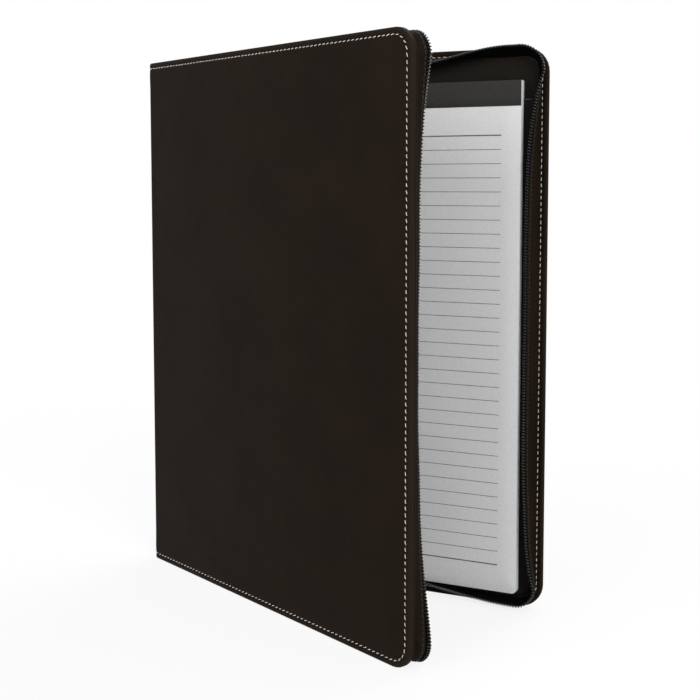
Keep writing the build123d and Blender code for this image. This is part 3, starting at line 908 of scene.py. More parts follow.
def ease(value, start, end):
    share = np.clip((value - start) / (end - start), 0, 1)
    return share * share * (3 - 2 * share)


def run_place(along, flare):
    """The straight run along the head: place, outward direction, lean, width and tape shown."""
    u = STRIP_START + along
    leaning, widening = ease(u, LEVEL_END, LEAN_FULL_AT), ease(u, LEVEL_END, WIDTH_FULL_AT)
    lean = leaning * (RUN_LEAN + (flare - RUN_LEAN) * ease(u, FLARE_FROM, FLARE_FULL))
    level = (SPINE_HALF + u * math.sin(CLOSED_TURN)) / math.cos(CLOSED_TURN)
    width = (level - COIL_GAP - FACING_TOP) * (1 - widening) + STRIP_WIDTH * widening
    shown = TAPE_BY_SLIDER * (1 - leaning) + TAPE_BEYOND * leaning
    return (u, COVER_HEIGHT - SEAM_INSET), (0.0, 1.0), lean, width, shown


def seam_place(distance, side):
    """Foot place, outward direction, lean, width and facing height along the seam."""
    side_lean, top_flare, bottom_flare = LEANS[side]
    lower = distance > seam_length / 2
    along = seam_length - distance if lower else distance
    flare = bottom_flare if lower else top_flare
    run_flare = min(flare, FLOOR_FLARE) if lower else flare
    past_run, past_bend = along - run_length, along - run_length - bend_length
    width, shown = STRIP_WIDTH, TAPE_BEYOND
    if past_run <= 0:
        place, outward, lean, width, shown = run_place(along, run_flare)
    elif past_bend <= 0:
        turn = math.pi / 2 * (1 - past_run / bend_length)
        outward = (math.cos(turn), math.sin(turn))
        reach = CORNER - SEAM_INSET
        place = (COVER_WIDTH - CORNER + reach * outward[0],
                 COVER_HEIGHT - CORNER + reach * outward[1])
        lean = run_flare + (flare - run_flare) * past_run / bend_length
    else:
        place, outward = (COVER_WIDTH - SEAM_INSET, COVER_HEIGHT - CORNER - past_bend), (1.0, 0.0)
        lean = side_lean + (flare - side_lean) * math.exp(-past_bend / FLARE_FADE)
    if lower:
        place, outward = (place[0], COVER_HEIGHT - place[1]), (outward[0], -outward[1])
    return (*place, *outward, math.radians(lean), width, width - COIL_LENGTH - shown)


print("seam", round(seam_length), "mm round three edges")

# %% [markdown]
# Away from the slider the foot of the strip is set in by a millimetre more than the solid's,
# which leaves room for the stitching beside it. A slow wave with a few pleats at the corners
# keeps the strip from looking moulded. Both are sums of sines, which give the same folds on every
# run.

# %% A strip that can be asked for places
MARK_STEP = 0.5
FOOT_INSET = 4.5
SLIDER_ROOM, ROOM_FADE = 70.0, 40.0
FACING_STANDOFF = 0.66
WAVE_SEEDS = {REAR: 0.7, FRONT: 2.9}
WAVE_HEIGHT, WAVE_START, WAVE_FADE = 0.32, 60.0, 60.0
SLOW_WAVES = ((0.5, 19.0), (0.35, 8.3))  # height, length
PLEAT_HEIGHT, PLEAT_LENGTH, PLEAT_REACH = 0.34, 1.35, 13.0


class Strip:
    """The standing strip of one cover, with its foot set in and its wave added."""

    def __init__(self, side):
        self.side = side
        self.marks = np.arange(0.0, seam_length + MARK_STEP / 2, MARK_STEP)
        rows = np.array([seam_place(mark, side) for mark in self.marks])
        u, z, self.out_u, self.out_z, lean, width, self.facing = rows.T
        self.edge_u, self.edge_z = u + SEAM_INSET * self.out_u, z + SEAM_INSET * self.out_z
        from_end = np.minimum(self.marks, seam_length - self.marks)
        set_in = ease(from_end, SLIDER_ROOM, SLIDER_ROOM + ROOM_FADE)
        self.inset = SEAM_INSET + (FOOT_INSET - SEAM_INSET) * set_in
        across = self.inset - SEAM_INSET + width * np.sin(lean)
        rise = width * np.cos(lean)
        self.width = np.hypot(across, rise)
        self.lean = np.arctan2(across, rise)

    def value(self, name, distance):
        return np.interp(distance, self.marks, getattr(self, name))

    def wave(self, distance, height):
        """Sideways wave of the strip, growing towards its edge, with pleats at the corners."""
        seed = WAVE_SEEDS[self.side]
        (high, long), (low, short) = SLOW_WAVES
        slow = high * np.sin(distance / long + seed) + low * np.sin(distance / short + 2 * seed)
        from_end = np.minimum(distance, seam_length - distance)
        free = np.clip((from_end - WAVE_START) / WAVE_FADE, 0, 1)
        corner = run_length + bend_length / 2
        away = np.minimum(np.abs(distance - corner), np.abs(seam_length - distance - corner))
        pleat = np.sin(distance / PLEAT_LENGTH + seed) * np.exp(-((away / PLEAT_REACH) ** 2))
        pleat = pleat * 4 * height * (1 - height)
        return WAVE_HEIGHT * free * slow * height + PLEAT_HEIGHT * pleat

    def foot(self, distance, inset, v):
        """Places on the flat foot, by their inset from the cover's edge."""
        u = self.value("edge_u", distance) - inset * self.value("out_u", distance)
        z = self.value("edge_z", distance) - inset * self.value("out_z", distance)
        return cover_point(self.side, u, v, z)

    def up(self, distance, height, across):
        """Places on the strip: height along its rise, across to its outer side."""
        distance, height, across = alike(distance, height, across)
        lean, width = self.value("lean", distance), self.value("width", distance)
        across = across + self.wave(distance, np.clip(height / width, 0, 1))
        out = height * np.sin(lean) + across * np.cos(lean)
        v = FACING_TOP + height * np.cos(lean) - across * np.sin(lean)
        return self.foot(distance, self.value("inset", distance) - out, v)

    def squeezed(self, distance, inset):
        """An inset on the foot, drawn outward where the strip stands nearer the edge."""
        room = self.value("inset", distance) - FACING_STANDOFF
        return inset * room / (FOOT_INSET - FACING_STANDOFF)


STRIPS = {side: Strip(side) for side in (REAR, FRONT)}
print("strips up to", round(STRIPS[REAR].width.max(), 1), "mm wide")

# %% [markdown]
# A strip's section is one closed outline: along the flat foot, up the outer face, over the cut
# edge, and down the inner face. A curve with a bevel could carry it, but would not change its
# lean, so the section is lofted along the seam. The same stations carry the tape, a thinner band
# behind it.

# %% Facings
SEAM_STEP = 1.6
FOOT_SECTION = [  # inset from the edge, depth
    (0.4, 2.9), (0.1, 3.0), (0.04, 3.25), (0.22, 3.54), (0.8, 3.66), (1.7, 3.7), (2.55, 3.6),
    (3.1, 3.4), (3.45, 3.42), (3.68, 3.55),
]
FACE_SECTION = [  # share of the facing's height, place across it
    (0.03, 0.66), (0.12, 0.7), (0.26, 0.7), (0.42, 0.7), (0.58, 0.7), (0.74, 0.7), (0.88, 0.68),
    (0.97, 0.6), (1.0, 0.38), (0.975, 0.14), (0.88, 0.05), (0.7, 0.03), (0.5, 0.03), (0.3, 0.03),
    (0.1, 0.03),
]
HEEL_SECTION = [(4.66, 3.5), (4.85, 3.2), (4.8, 2.9)]
FOOT_RUB, EDGE_FROM, EDGE_RUB = 1.5, 0.95, 0.7
FLAT_FOOT, FLAT_RISE = 6.0, 8.0


def seam_stations(first, last, step):
    return np.linspace(first, last, int(round((last - first) / step)) + 1)


seam_marks = seam_stations(0.0, seam_length, SEAM_STEP)


def make_facing(side):
    strip = STRIPS[side]
    facing = strip.value("facing", seam_marks)
    columns, laid, rims = [], [], []
    for inset, v in FOOT_SECTION:
        columns.append(strip.foot(seam_marks, strip.squeezed(seam_marks, inset), v))
        laid.append((inset, v))
        rims.append(max(0.0, 1 - inset / FOOT_RUB))
    for share, across in FACE_SECTION:
        columns.append(strip.up(seam_marks, share * facing, across))
        laid.append((FLAT_FOOT + FLAT_RISE * share, across))
        rims.append(EDGE_RUB if share > EDGE_FROM else 0.0)
    for inset, v in HEEL_SECTION:
        columns.append(strip.foot(seam_marks, inset, v))
        laid.append((inset, v))
        rims.append(0.0)
    flat = np.array([[(mark, *place) for place in laid] for mark in seam_marks])
    part = loft(np.stack(columns, 1), flat, np.tile(rims, len(seam_marks)))
    return make_piece(named(side, "facing"), [part], LEATHERETTE)


print("stations along the seam:", len(seam_marks))

# %% Tapes, and both in place
TAPE_FOOT, TAPE_SHORT = 0.9, 0.7
TAPE_SECTION = [  # share of the tape's width, place across it
    (0.0, -0.16), (0.2, -0.12), (0.45, -0.12), (0.62, -0.14), (0.72, -0.22), (0.97, -0.22),
    (1.0, -0.3), (1.0, -0.5), (0.97, -0.58), (0.72, -0.58), (0.62, -0.66), (0.45, -0.68),
    (0.2, -0.68), (0.0, -0.64),
]


def make_tape(side):
    strip = STRIPS[side]
    edge = strip.value("width", seam_marks) - TAPE_SHORT
    rows = np.stack([strip.up(seam_marks, TAPE_FOOT + share * (edge - TAPE_FOOT), across)
                     for share, across in TAPE_SECTION], 1)
    flat = np.array([[(mark, FLAT_RISE * share, across) for share, across in TAPE_SECTION]
                     for mark in seam_marks])
    return make_piece(named(side, "tape"), [loft(rows, flat)], TAPE)


for side in (REAR, FRONT):
    facing = make_facing(side)
    place_piece(facing, named(side, "cover"), [named(side, "gusset")])
    tape = make_tape(side)
    place_piece(tape, named(side, "cover"), [named(side, "zipper_tape")])

# %% [markdown]
# Two more rows of stitches belong to the strip. Pale ones come through from the outside and lie
# on the foot. Dark ones hold the tape to the facing and follow its upper edge. Both are asked of
# the strip itself, so they follow its wave.

# %% Stitches of the strips
FOOT_ROW_INSET, FOOT_ROW_LEVEL, ABOVE_FOOT = 3.2, 3.42, 4.4
TAPE_ROW_DROP, TAPE_ROW_FACE, OUTSIDE_FACE = 1.1, 0.72, 1.7
ROW_END = 2.0
row_marks = seam_stations(ROW_END, seam_length - ROW_END, step=1.5)
for side in (REAR, FRONT):
    strip = STRIPS[side]
    inset = strip.squeezed(row_marks, FOOT_ROW_INSET)
    places = strip.foot(row_marks, inset, FOOT_ROW_LEVEL)
    row = stitch_row(places, strip.foot(row_marks, inset, ABOVE_FOOT) - places)
    inside = make_piece(named(side, "inner_stitching"), [row], PALE_THREAD)
    place_piece(inside, named(side, "cover"))
    height = strip.value("facing", row_marks) - TAPE_ROW_DROP
    places = strip.up(row_marks, height, TAPE_ROW_FACE)
    row = stitch_row(places, strip.up(row_marks, height, OUTSIDE_FACE) - places,
                     pitch=2.6, length=1.9, sides=5)
    held = make_piece(named(side, "tape_stitching"), [row], DARK_THREAD)
    place_piece(held, named(side, "cover"))

# %% [markdown]
# ## The coil
# Each half of the zipper is one nylon thread wound into flat loops, whose heads interlock with
# the other half's. One loop could be repeated along a curve, but the copies would not join. So
# the coil is one tube that follows a flattened spiral along the tape's edge, a little thicker at
# the heads. The spiral is an angle that grows with distance, which keeps the pitch true round
# corners.

# %% Wind the coils
COIL_PITCH = 1.6
COIL_WIDTH = 2.1
COIL_STEPS, COIL_SIDES = 10, 6
COIL_SAMPLE = 0.2
COIL_STARTS = {REAR: 2.6, FRONT: 17.5}
COIL_PLACE, COIL_HALF_DEPTH = -0.4, 0.52
COIL_RADIUS, HEAD_SWELL = 0.35, 0.08
COIL_REACH = COIL_WIDTH / 2 - 0.3
LOOP_SQUARENESS = 0.8
COIL_LAID_RADIUS = 0.33


def make_coil(side):
    strip = STRIPS[side]
    dense = np.arange(COIL_STARTS[side], seam_length - COIL_STARTS[side], COIL_SAMPLE)
    line = strip.up(dense, strip.value("width", dense) - COIL_WIDTH / 2, COIL_PLACE)
    length = running_length(line)
    turns = int(length[-1] / COIL_PITCH)
    angle = np.arange(turns * COIL_STEPS + 1) * 2 * math.pi / COIL_STEPS
    mark = np.interp(angle / (2 * math.pi) * COIL_PITCH, length, dense)
    swing = np.cos(angle)
    reach = np.sign(swing) * np.abs(swing) ** LOOP_SQUARENESS * COIL_REACH
    height = strip.value("width", mark) - COIL_WIDTH / 2 + reach
    path = strip.up(mark, height, COIL_PLACE + COIL_HALF_DEPTH * np.sin(angle))
    ahead = unit(np.gradient(path, axis=0))
    seam = np.stack([np.interp(mark, dense, line[:, i]) for i in range(3)], 1)
    first = unit(np.cross(ahead, np.gradient(seam, axis=0)))
    second = np.cross(ahead, first)
    girth = COIL_RADIUS + HEAD_SWELL * np.clip(swing, 0, 1) ** 2
    turn = np.arange(COIL_SIDES) * 2 * math.pi / COIL_SIDES
    around = (first[:, None] * np.cos(turn)[None, :, None]
              + second[:, None] * np.sin(turn)[None, :, None])
    points = path[:, None] + around * girth[:, None, None]
    laid = np.zeros(points.shape)
    laid[:, :, 0] = mark[:, None]
    laid[:, :, 1] = turn[None, :] * COIL_LAID_RADIUS
    print(SIDE_NAMES[side], "coil:", turns, "loops along", round(length[-1]), "mm")
    return make_piece(named(side, "coil"), [loft(points, laid)], COIL)


for side in (REAR, FRONT):
    coil = make_coil(side)
    place_piece(coil, named(side, "cover"), [named(side, "zipper_coil")])

# %% [markdown]
# ## Linings
# The inside is lined with black cloth, which runs on over the spine and slackens into the folds.
# Like the hide, it is two halves that meet at the spine's middle, on a line of their own, so the
# same turned sheet makes it. Cloth simulation isn't needed, because the boards hold it nearly
# flat.

# %% Make the linings
LINING_RINGS = [(0.4, -0.45), (0.1, -0.4), (0.0, -0.25), (0.1, -0.06), (0.6, 0.0), (3.0, 0.0)]
LINING_BACK = -0.45
FOLD_MIDDLE, LINING_BEND_REACH = 2.0, 4.0
LINING_SLACK, SLACK_START, SLACK_RUN = 0.03, 4.0, 12.0
SLACK_WAVES = (13.0, 21.0)
lining_fold = LINING_LINE.nearest(*cover_places(FOLD_MIDDLE, LINING_TOP))
lining_end = LINING_LINE.length[-1] - LINING_INSET


def make_lining(side):
    def slack(s, z):
        flat = np.clip((s - lining_fold - SLACK_START) / SLACK_RUN, 0, 1)
        wave = np.sin(s / SLACK_WAVES[0] + side) * np.sin(z / SLACK_WAVES[1])
        return LINING_SLACK * flat * (1 + wave)
    low, high = LINING_INSET, COVER_HEIGHT - LINING_INSET
    corner = CORNER - LINING_INSET
    along = np.concatenate([steps_to([0.0, lining_fold + 8.0], most=0.8),
                            steps_to([lining_fold + 12.0, lining_end - corner], most=8.0)])
    up = steps_to([low + corner, high - corner], most=8.0)
    part = turned_sheet(side, LINING_LINE, lining_end, low, high, corner, along, up,
                        LINING_RINGS, LINING_BACK, slack)
    return make_piece(named(side, "lining_cloth"), [part], LINING)


for side in (REAR, FRONT):
    lining = make_lining(side)
    follow_fold(lining, side, LINING_LINE, lining_fold, LINING_BEND_REACH,
                (named(side, "lining"), "spine_lining"))

# %% [markdown]
# ## Pockets
# Flat pockets are single panels sewn down on three sides, with a hem along the mouth. A panel is
# a grid between two curves, its foot and its mouth, each a formula of `u`, so a rounded corner or
# a thumb notch is only a different formula. The hem is the last few millimetres made thicker,
# with a groove where it is sewn.

# %% A panel between two curves
FOOT_TAPER = [(0.0, 0.35), (0.3, 0.9), (1.2, 1.0), (4.0, 1.0)]  # rise, share of the thickness
HEM_TAPER = [  # drop below the mouth, share of the hem's own thickness
    (0.0, 0.3), (0.15, 0.75), (0.5, 1.0), (1.2, 1.0), (2.2, 1.0), (3.2, 0.9), (3.8, 0.55),
    (4.2, 0.3), (4.6, 0.15), (5.2, 0.05), (6.5, 0.0),
]
HEM_THICKNESS = 0.38
MOUTH_TAPER, SIDE_TAPER = 0.5, 0.4
RIPPLE, RIPPLE_WAVES = 0.05, (15.0, 18.0)
PANEL_ROWS = 18


def panel(side, columns, foot, mouth, back, thickness, hem=HEM_THICKNESS):
    """A closed sheet standing on a level, thicker along its mouth."""
    low, high = np.array([foot(u) for u in columns]), np.array([mouth(u) for u in columns])
    rows = [(low + rise, share * thickness) for rise, share in FOOT_TAPER]
    first, last = rows[-1][0], high - HEM_TAPER[-1][0]
    for t in np.linspace(0.0, 1.0, PANEL_ROWS)[1:-1]:
        rows.append((first + t * (last - first), thickness))
    for drop, share in HEM_TAPER[::-1]:
        end = MOUTH_TAPER if drop == 0 else 1.0
        rows.append((high - drop, end * thickness + share * hem))
    z = np.array([row[0] for row in rows])
    height = np.array([row[1] for row in rows])[:, None]
    u = np.broadcast_to(columns, z.shape)
    side_fall = np.ones(len(columns))
    side_fall[[0, -1]] = SIDE_TAPER
    ripple = RIPPLE * np.sin(u / RIPPLE_WAVES[0]) * np.sin(z / RIPPLE_WAVES[1])
    ripple = ripple * (side_fall == 1.0)
    levels = (back + height * side_fall + ripple, np.full(z.shape, back))
    index = np.arange(z.size).reshape(z.shape)
    rim = np.concatenate([index[0, :], index[1:, -1], index[-1, -2::-1], index[-2::-1, 0]])
    faces = quads(index) + quads((index + z.size)[::-1])
    faces += quads(np.stack([rim, rim + z.size], 1))
    points = np.stack([cover_point(side, u, level, z) for level in levels])
    laid = np.stack([np.stack([u, z, level], -1) for level in levels])
    return points, faces, laid, 0.0


print("a panel has", len(FOOT_TAPER) + PANEL_ROWS - 2 + len(HEM_TAPER), "rows of points")

# %% [markdown]
# The rear cover has one wide panel, whose mouth takes the pad's card. The front cover has a panel
# for loose sheets with a notch for the thumb, and above it three stepped pockets for cards. Their
# columns stand closer where an outline turns, which keeps the corner and the notch round.

# %% The outlines of the pockets
POCKET_MARGIN = 6.2
POCKET_LEFT, POCKET_RIGHT = 4.1, COVER_WIDTH - POCKET_MARGIN
SLIT_DROP = 9.4
PAD_POCKET_MOUTH = PAD_HEAD - SLIT_DROP
CARD_WIDTH, CARD_HEIGHT, CARD_STEP = 98.0, 66.0, 14.0
CARD_DROP, CARD_CLEAR = 27.0, 12.0
CARD_FOOT = COVER_HEIGHT - CARD_DROP - CARD_HEIGHT
CARD_LEFT, CARD_RIGHT = (COVER_WIDTH - CARD_WIDTH) / 2, (COVER_WIDTH + CARD_WIDTH) / 2
DOCUMENT_MOUTH = CARD_FOOT - CARD_CLEAR
NOTCH_RADIUS, NOTCH_DEPTH = 16.0, 10.0
NOTCH_FROM, NOTCH_TO, NOTCH_LINES = 101.0, 138.0, 36


def straight(z):
    return lambda u: z


def rounded_foot(u):
    reach = CORNER - POCKET_MARGIN
    past = min(max(u - (POCKET_RIGHT - reach), 0.0), reach)
    return POCKET_MARGIN + reach - math.sqrt(max(reach**2 - past**2, 0.0))


def thumb_mouth(u):
    away = abs(u - (POCKET_LEFT + POCKET_RIGHT) / 2)
    if away >= NOTCH_RADIUS:
        return DOCUMENT_MOUTH
    centre = DOCUMENT_MOUTH + NOTCH_RADIUS - NOTCH_DEPTH
    return min(DOCUMENT_MOUTH, centre - math.sqrt(NOTCH_RADIUS**2 - away**2))


corner_columns = POCKET_RIGHT - np.array([6.8, 5.0, 3.2, 1.9, 1.0, 0.45, 0.15, 0.0])
wide_columns = np.concatenate([
    steps_to([POCKET_LEFT, POCKET_LEFT + 0.3, POCKET_RIGHT - 8.0], most=6.0), corner_columns])
notch_columns = np.linspace(NOTCH_FROM, NOTCH_TO, NOTCH_LINES)
notch_columns = np.sort(np.concatenate([wide_columns, notch_columns]))
card_columns = steps_to([CARD_LEFT, CARD_LEFT + 0.3, CARD_RIGHT - 0.3, CARD_RIGHT], most=6.0)
print("pocket columns:", len(wide_columns), len(notch_columns), len(card_columns))

# %% Make the pockets
PAD_POCKET_LEVEL, DOCUMENT_LEVEL = 4.5, 3.5
PANEL_THICKNESS, CARD_THICKNESS = 0.45, 0.4
CARD_LIFT, CARD_LAYER = 0.1, 0.6


def make_pocket(name, node, side, columns, foot, mouth, level, thickness,
                hem=HEM_THICKNESS):
    part = panel(side, columns, foot, mouth, level, thickness, hem)
    piece = make_piece(name, [part], LINING)
    place_piece(piece, named(side, "cover"), [node])


make_pocket("pad_panel", "pad_pocket", REAR, wide_columns, rounded_foot,
            straight(PAD_POCKET_MOUTH), PAD_POCKET_LEVEL, PANEL_THICKNESS,
            hem=0.0)
make_pocket("document_panel", "document_pocket", FRONT, notch_columns, rounded_foot,
            thumb_mouth, DOCUMENT_LEVEL, PANEL_THICKNESS)
cards = []
for number in (1, 2, 3):
    behind = 3 - number
    head = CARD_FOOT + CARD_HEIGHT - behind * CARD_STEP
    level = LINING_TOP + CARD_LIFT + behind * CARD_LAYER
    make_pocket("card_panel_%d" % number, "card_pocket_%d" % number, FRONT, card_columns,
                straight(CARD_FOOT), straight(head), level, CARD_THICKNESS)
    cards.append((head, level))

# %% [markdown]
# Dark stitches run along the hems of the front pockets. The rear mouth has no hem, and short grey
# tacks close both its ends instead, where a pocket tears first. All use the stitch made above.

# %% Sew the hems and the tacks
HEM_SEAM, HEM_END, HEM_FACE = 4.2, 2.0, 0.5
TACK_PLACES = (POCKET_LEFT + 3.0, POCKET_RIGHT - 4.4)
TACK_LEVEL, TACK_DROP, TACK_HALF = 4.98, 0.6, 1.9


def mouth_row(columns, mouth, level):
    """Stitches along the hem of a pocket on the front cover."""
    u = steps_to([columns[0] + HEM_END, columns[-1] - HEM_END], most=1.5)
    z = np.array([mouth(x) - HEM_SEAM for x in u])
    places = cover_point(FRONT, u, level, z)
    outward = cover_point(FRONT, u, level + 1.0, z) - places
    return stitch_row(places, outward, pitch=2.9, radius=0.22, sides=5)


hem_rows = [mouth_row(notch_columns, thumb_mouth, DOCUMENT_LEVEL + HEM_FACE)]
hem_rows += [mouth_row(card_columns, straight(head), level + HEM_FACE)
             for head, level in cards]
place_piece(make_piece("pocket_stitching", hem_rows, DARK_THREAD), "front_cover")
tacks = []
for middle in TACK_PLACES:
    u = np.linspace(middle - TACK_HALF, middle + TACK_HALF, 5)
    z = PAD_POCKET_MOUTH - TACK_DROP
    places = cover_point(REAR, u, TACK_LEVEL, z)
    outward = cover_point(REAR, u, TACK_LEVEL + 1.0, z) - places
    tacks.append(stitch_row(places, outward, pitch=1.9, length=1.9, radius=0.13, sides=5))
place_piece(make_piece("pocket_tacks", tacks, GREY_THREAD), "rear_cover")

# %% [markdown]
# ## The writing pad
# A pad is a block of leaves, glued at the head and bound in a strip of dark paper. One solid
# block would show a blank edge, and single leaves would be too many, so the leaves are built in
# small bundles, each cut a hair differently, as a guillotine leaves them. The rules are printed
# on the top leaf only, which the `rim` attribute marks.

# %% Make the leaves
PAD_FACE = 9.1
SHEETS_BACK = 5.1
LEAF_BUNDLES = 15
LEAF_CORNER, SIDE_FROM = 2.5, 12.0
CORNER_POINTS, SIDE_POINTS, HEAD_POINTS = 5, 12, 10
LEAF_ROUND, LEAF_EASE, LEAF_INSIDE, LEAF_GAP = 0.03, 0.0006, 0.9, 0.012
CUT_SPREAD = 0.07
random_leaf = np.random.default_rng(11)


def leaf_outline(grow_side, grow_foot):
    """Places (u, z) round one leaf, with the two foot corners eased."""
    left, right = PAD_START - grow_side, PAD_END + grow_side
    foot, head = PAD_FOOT - grow_foot, PAD_HEAD
    turns = [(LEAF_CORNER * math.sin(a), foot + LEAF_CORNER - LEAF_CORNER * math.cos(a))
             for a in np.linspace(0, math.pi / 2, CORNER_POINTS)]
    points = [(left + LEAF_CORNER - across, z) for across, z in turns[::-1]]
    points += [(right - LEAF_CORNER + across, z) for across, z in turns]
    points += [(right, z) for z in np.linspace(foot + SIDE_FROM, head, SIDE_POINTS)]
    points += [(u, head) for u in np.linspace(right, left, HEAD_POINTS)[1:]]
    points += [(left, z) for z in np.linspace(head, foot + SIDE_FROM, SIDE_POINTS)[1:]]
    return np.array(points)


def leaf_bundle(low, high, grow_side, grow_foot, printed):
    outline = leaf_outline(grow_side, grow_foot)
    middle = np.array([(PAD_START + PAD_END) / 2, (PAD_FOOT + PAD_HEAD) / 2])
    eased = outline + (middle - outline) * LEAF_EASE
    inside = middle + (outline - middle) * LEAF_INSIDE
    rings = [(inside, low), (eased, low), (outline, low + LEAF_ROUND),
             (outline, high - LEAF_ROUND), (eased, high), (inside, high)]
    u, z = np.concatenate([ring for ring, level in rings]).T
    levels = np.repeat([level for ring, level in rings], len(outline))
    on_face = np.repeat([0.0, 0.0, 0.0, 0.0, printed, printed], len(outline))
    faces = ring_quads(len(rings), len(outline))
    return cover_point(REAR, u, levels, z), faces, np.stack([u, z, levels], 1), on_face


def make_leaves():
    levels = np.linspace(SHEETS_BACK, PAD_FACE, LEAF_BUNDLES + 1)
    parts = []
    for i in range(LEAF_BUNDLES):
        top = i == LEAF_BUNDLES - 1
        grow = random_leaf.normal(0.0, CUT_SPREAD, 2)
        grow_side, grow_foot = (0.0, 0.0) if top else grow
        low, high = levels[i] + LEAF_GAP, levels[i + 1]
        parts.append(leaf_bundle(low, high, grow_side, grow_foot, float(top)))
    return make_piece("pad_leaves", parts, PAPER)


place_piece(make_leaves(), "notepad", ["pad_sheets"])

# %% [markdown]
# The binding is a strip of dark grey paper folded over the head. A flat ribbon would show no
# thickness at the fold, so its section is a long hook with soft corners, carried along the pad's
# width with a very small wave, so that it lies on the leaves like glued paper.

# %% Make the binding
BINDING_DEPTH = 13.5
CARD_BACK = 3.7
BINDING_OVER, BINDING_UNDER = 0.24, 0.03
BINDING_OVERHANG = 0.02
BINDING_WAVES = ((0.03, 9.0), (0.02, 3.7))  # height, length


def binding_section():
    """Places (z, v) once round the folded strip, outer face first."""
    foot, head = PAD_HEAD - BINDING_DEPTH, PAD_HEAD
    out, inn = PAD_FACE + BINDING_OVER, PAD_FACE + BINDING_UNDER
    back_out, back_in = CARD_BACK - 0.2, CARD_BACK - BINDING_UNDER
    return [
        (foot, out - 0.12), (foot + 0.15, out), (foot + 4.5, out), (foot + 9.0, out),
        (head - 0.8, out), (head - 0.1, out - 0.08), (head + 0.16, out - 0.35),
        (head + 0.24, out - 0.9), (head + 0.24, back_out + 0.8), (head + 0.1, back_out + 0.25),
        (head - 0.3, back_out + 0.02), (head - 6.0, back_out), (foot, back_out), (foot, back_in),
        (head - 6.0, back_in), (head - 0.2, back_in), (head + 0.03, back_in + 0.3),
        (head + 0.03, inn - 0.4), (head - 0.3, inn), (foot + 9.0, inn), (foot + 4.5, inn),
        (foot, inn),
    ]


def make_binding():
    section = binding_section()
    columns = steps_to([PAD_START - BINDING_OVERHANG, PAD_END + BINDING_OVERHANG], most=4.0)
    rows = []
    for u in columns:
        lift = sum(height * math.sin(u / length) for height, length in BINDING_WAVES)
        rows.append([cover_point(REAR, u, v + lift * (v > PAD_FACE), z) for z, v in section])
    flat = np.array([[(u, z, v) for z, v in section] for u in columns])
    return make_piece("pad_binding_strip", [loft(np.array(rows), flat)], BINDING)


binding = make_binding()
place_piece(binding, "notepad", ["pad_binding"])

# %% [markdown]
# ## Pen loop
# A band of ribbed elastic is sewn to the gutter of the spine. It is a ring with a tail, both
# swept upward in short steps, with the cut ends turned in a little. The ribs could be a bump, but
# they are wide enough to show at the outline, so they are in the mesh.

# %% Make the pen loop
PEN_RADIUS, PEN_BAND = 4.2, 0.7
PEN_FOOT, PEN_LENGTH = 105.0, 45.0
PEN_STEPS, PEN_SIDES, TAIL_POINTS = 87, 48, 13
OUTER_EASE, INNER_EASE = 0.1, 0.08
SPINE_BULGE = 2.0
GUTTER_DEPTH = 2.1
RIB_HEIGHT, RIB_PITCH = 0.09, 2.0
TAIL_FACE, TAIL_BACK, TAIL_ANGLE = 0.55, 0.05, 0.128
CUT_END = np.array([0.0, 0.15, 0.5])
CUT_PULL = [-0.22, -0.06, 0.0]


def make_pen_loop():
    centre = fold_x + GUTTER_DEPTH - SPINE_BULGE + PEN_RADIUS + PEN_BAND
    rise = np.concatenate([CUT_END, np.linspace(1.0, PEN_LENGTH - 1.0, PEN_STEPS),
                           PEN_LENGTH - CUT_END[::-1]])
    levels = PEN_FOOT + rise
    rib = RIB_HEIGHT * np.cos((levels - PEN_FOOT) * 2 * math.pi / RIB_PITCH)
    pull = np.interp(levels - PEN_FOOT,
                     [*CUT_END, 1.0, PEN_LENGTH - 1, *(PEN_LENGTH - CUT_END[::-1])],
                     [*CUT_PULL, 0.0, 0.0, *CUT_PULL[::-1]])
    turn = np.linspace(0, 2 * math.pi, PEN_SIDES + 1)[:-1]
    walls = []
    outer, inner = PEN_RADIUS + PEN_BAND - OUTER_EASE, PEN_RADIUS + INNER_EASE
    for radius, sign in ((outer, 1.0), (inner, -1.0)):
        reach = (radius + sign * (rib + pull))[:, None]
        walls.append(np.stack(alike(centre + reach * np.cos(turn), reach * np.sin(turn),
                                    levels[:, None]), -1))
    shell = np.concatenate([walls[0], walls[1][::-1]])
    index = np.arange(shell[..., 0].size).reshape(shell.shape[:2])
    index = np.concatenate([index, index[:1]])
    index = np.concatenate([index, index[:, :1]], 1)
    laid = np.stack(alike(turn * PEN_RADIUS, shell[..., 2], 0.0), -1)
    angles = np.linspace(-TAIL_ANGLE, TAIL_ANGLE, TAIL_POINTS)
    outline = np.concatenate([
        spine_places(SPINE_RADIUS - GUTTER_DEPTH - TAIL_FACE, angles),
        spine_places(SPINE_RADIUS - GUTTER_DEPTH - TAIL_BACK, angles[::-1])])
    tail = np.array([[(x, y, z) for x, y in outline] for z in levels])
    parts = [(shell, quads(index), laid, 0.0), loft(tail, tail[..., [1, 2, 0]])]
    return make_piece("pen_elastic", parts, ELASTIC)


pen_elastic = make_pen_loop()
place_piece(pen_elastic, "spine", ["pen_loop"])

# %% [markdown]
# ## Pieces that keep their solids
# Boards, card, staples, slider and pull are rigid, and their solids already have the right shape.
# Building them again would gain nothing, so they only get their finish. These meshes carry no
# attributes, so their patterns use the object's own coordinates.

# %% Finish the rigid pieces
RIGID = {
    BOARD: ("rear_cover_board", "front_cover_board"),
    STIFFENER: ("spine_stiffener",),
    CARD: ("pad_card",),
    WIRE: ("pad_staples",),
    ENAMEL: ("rear_end_stops", "front_end_stops", "slider_body", "slider_crown", "pull_tab"),
}
for finish, names in RIGID.items():
    for name in names:
        node = frame["nodes"][name]
        node.data.materials.clear()
        node.data.materials.append(finish)
    print(finish.name, "on", ", ".join(names))

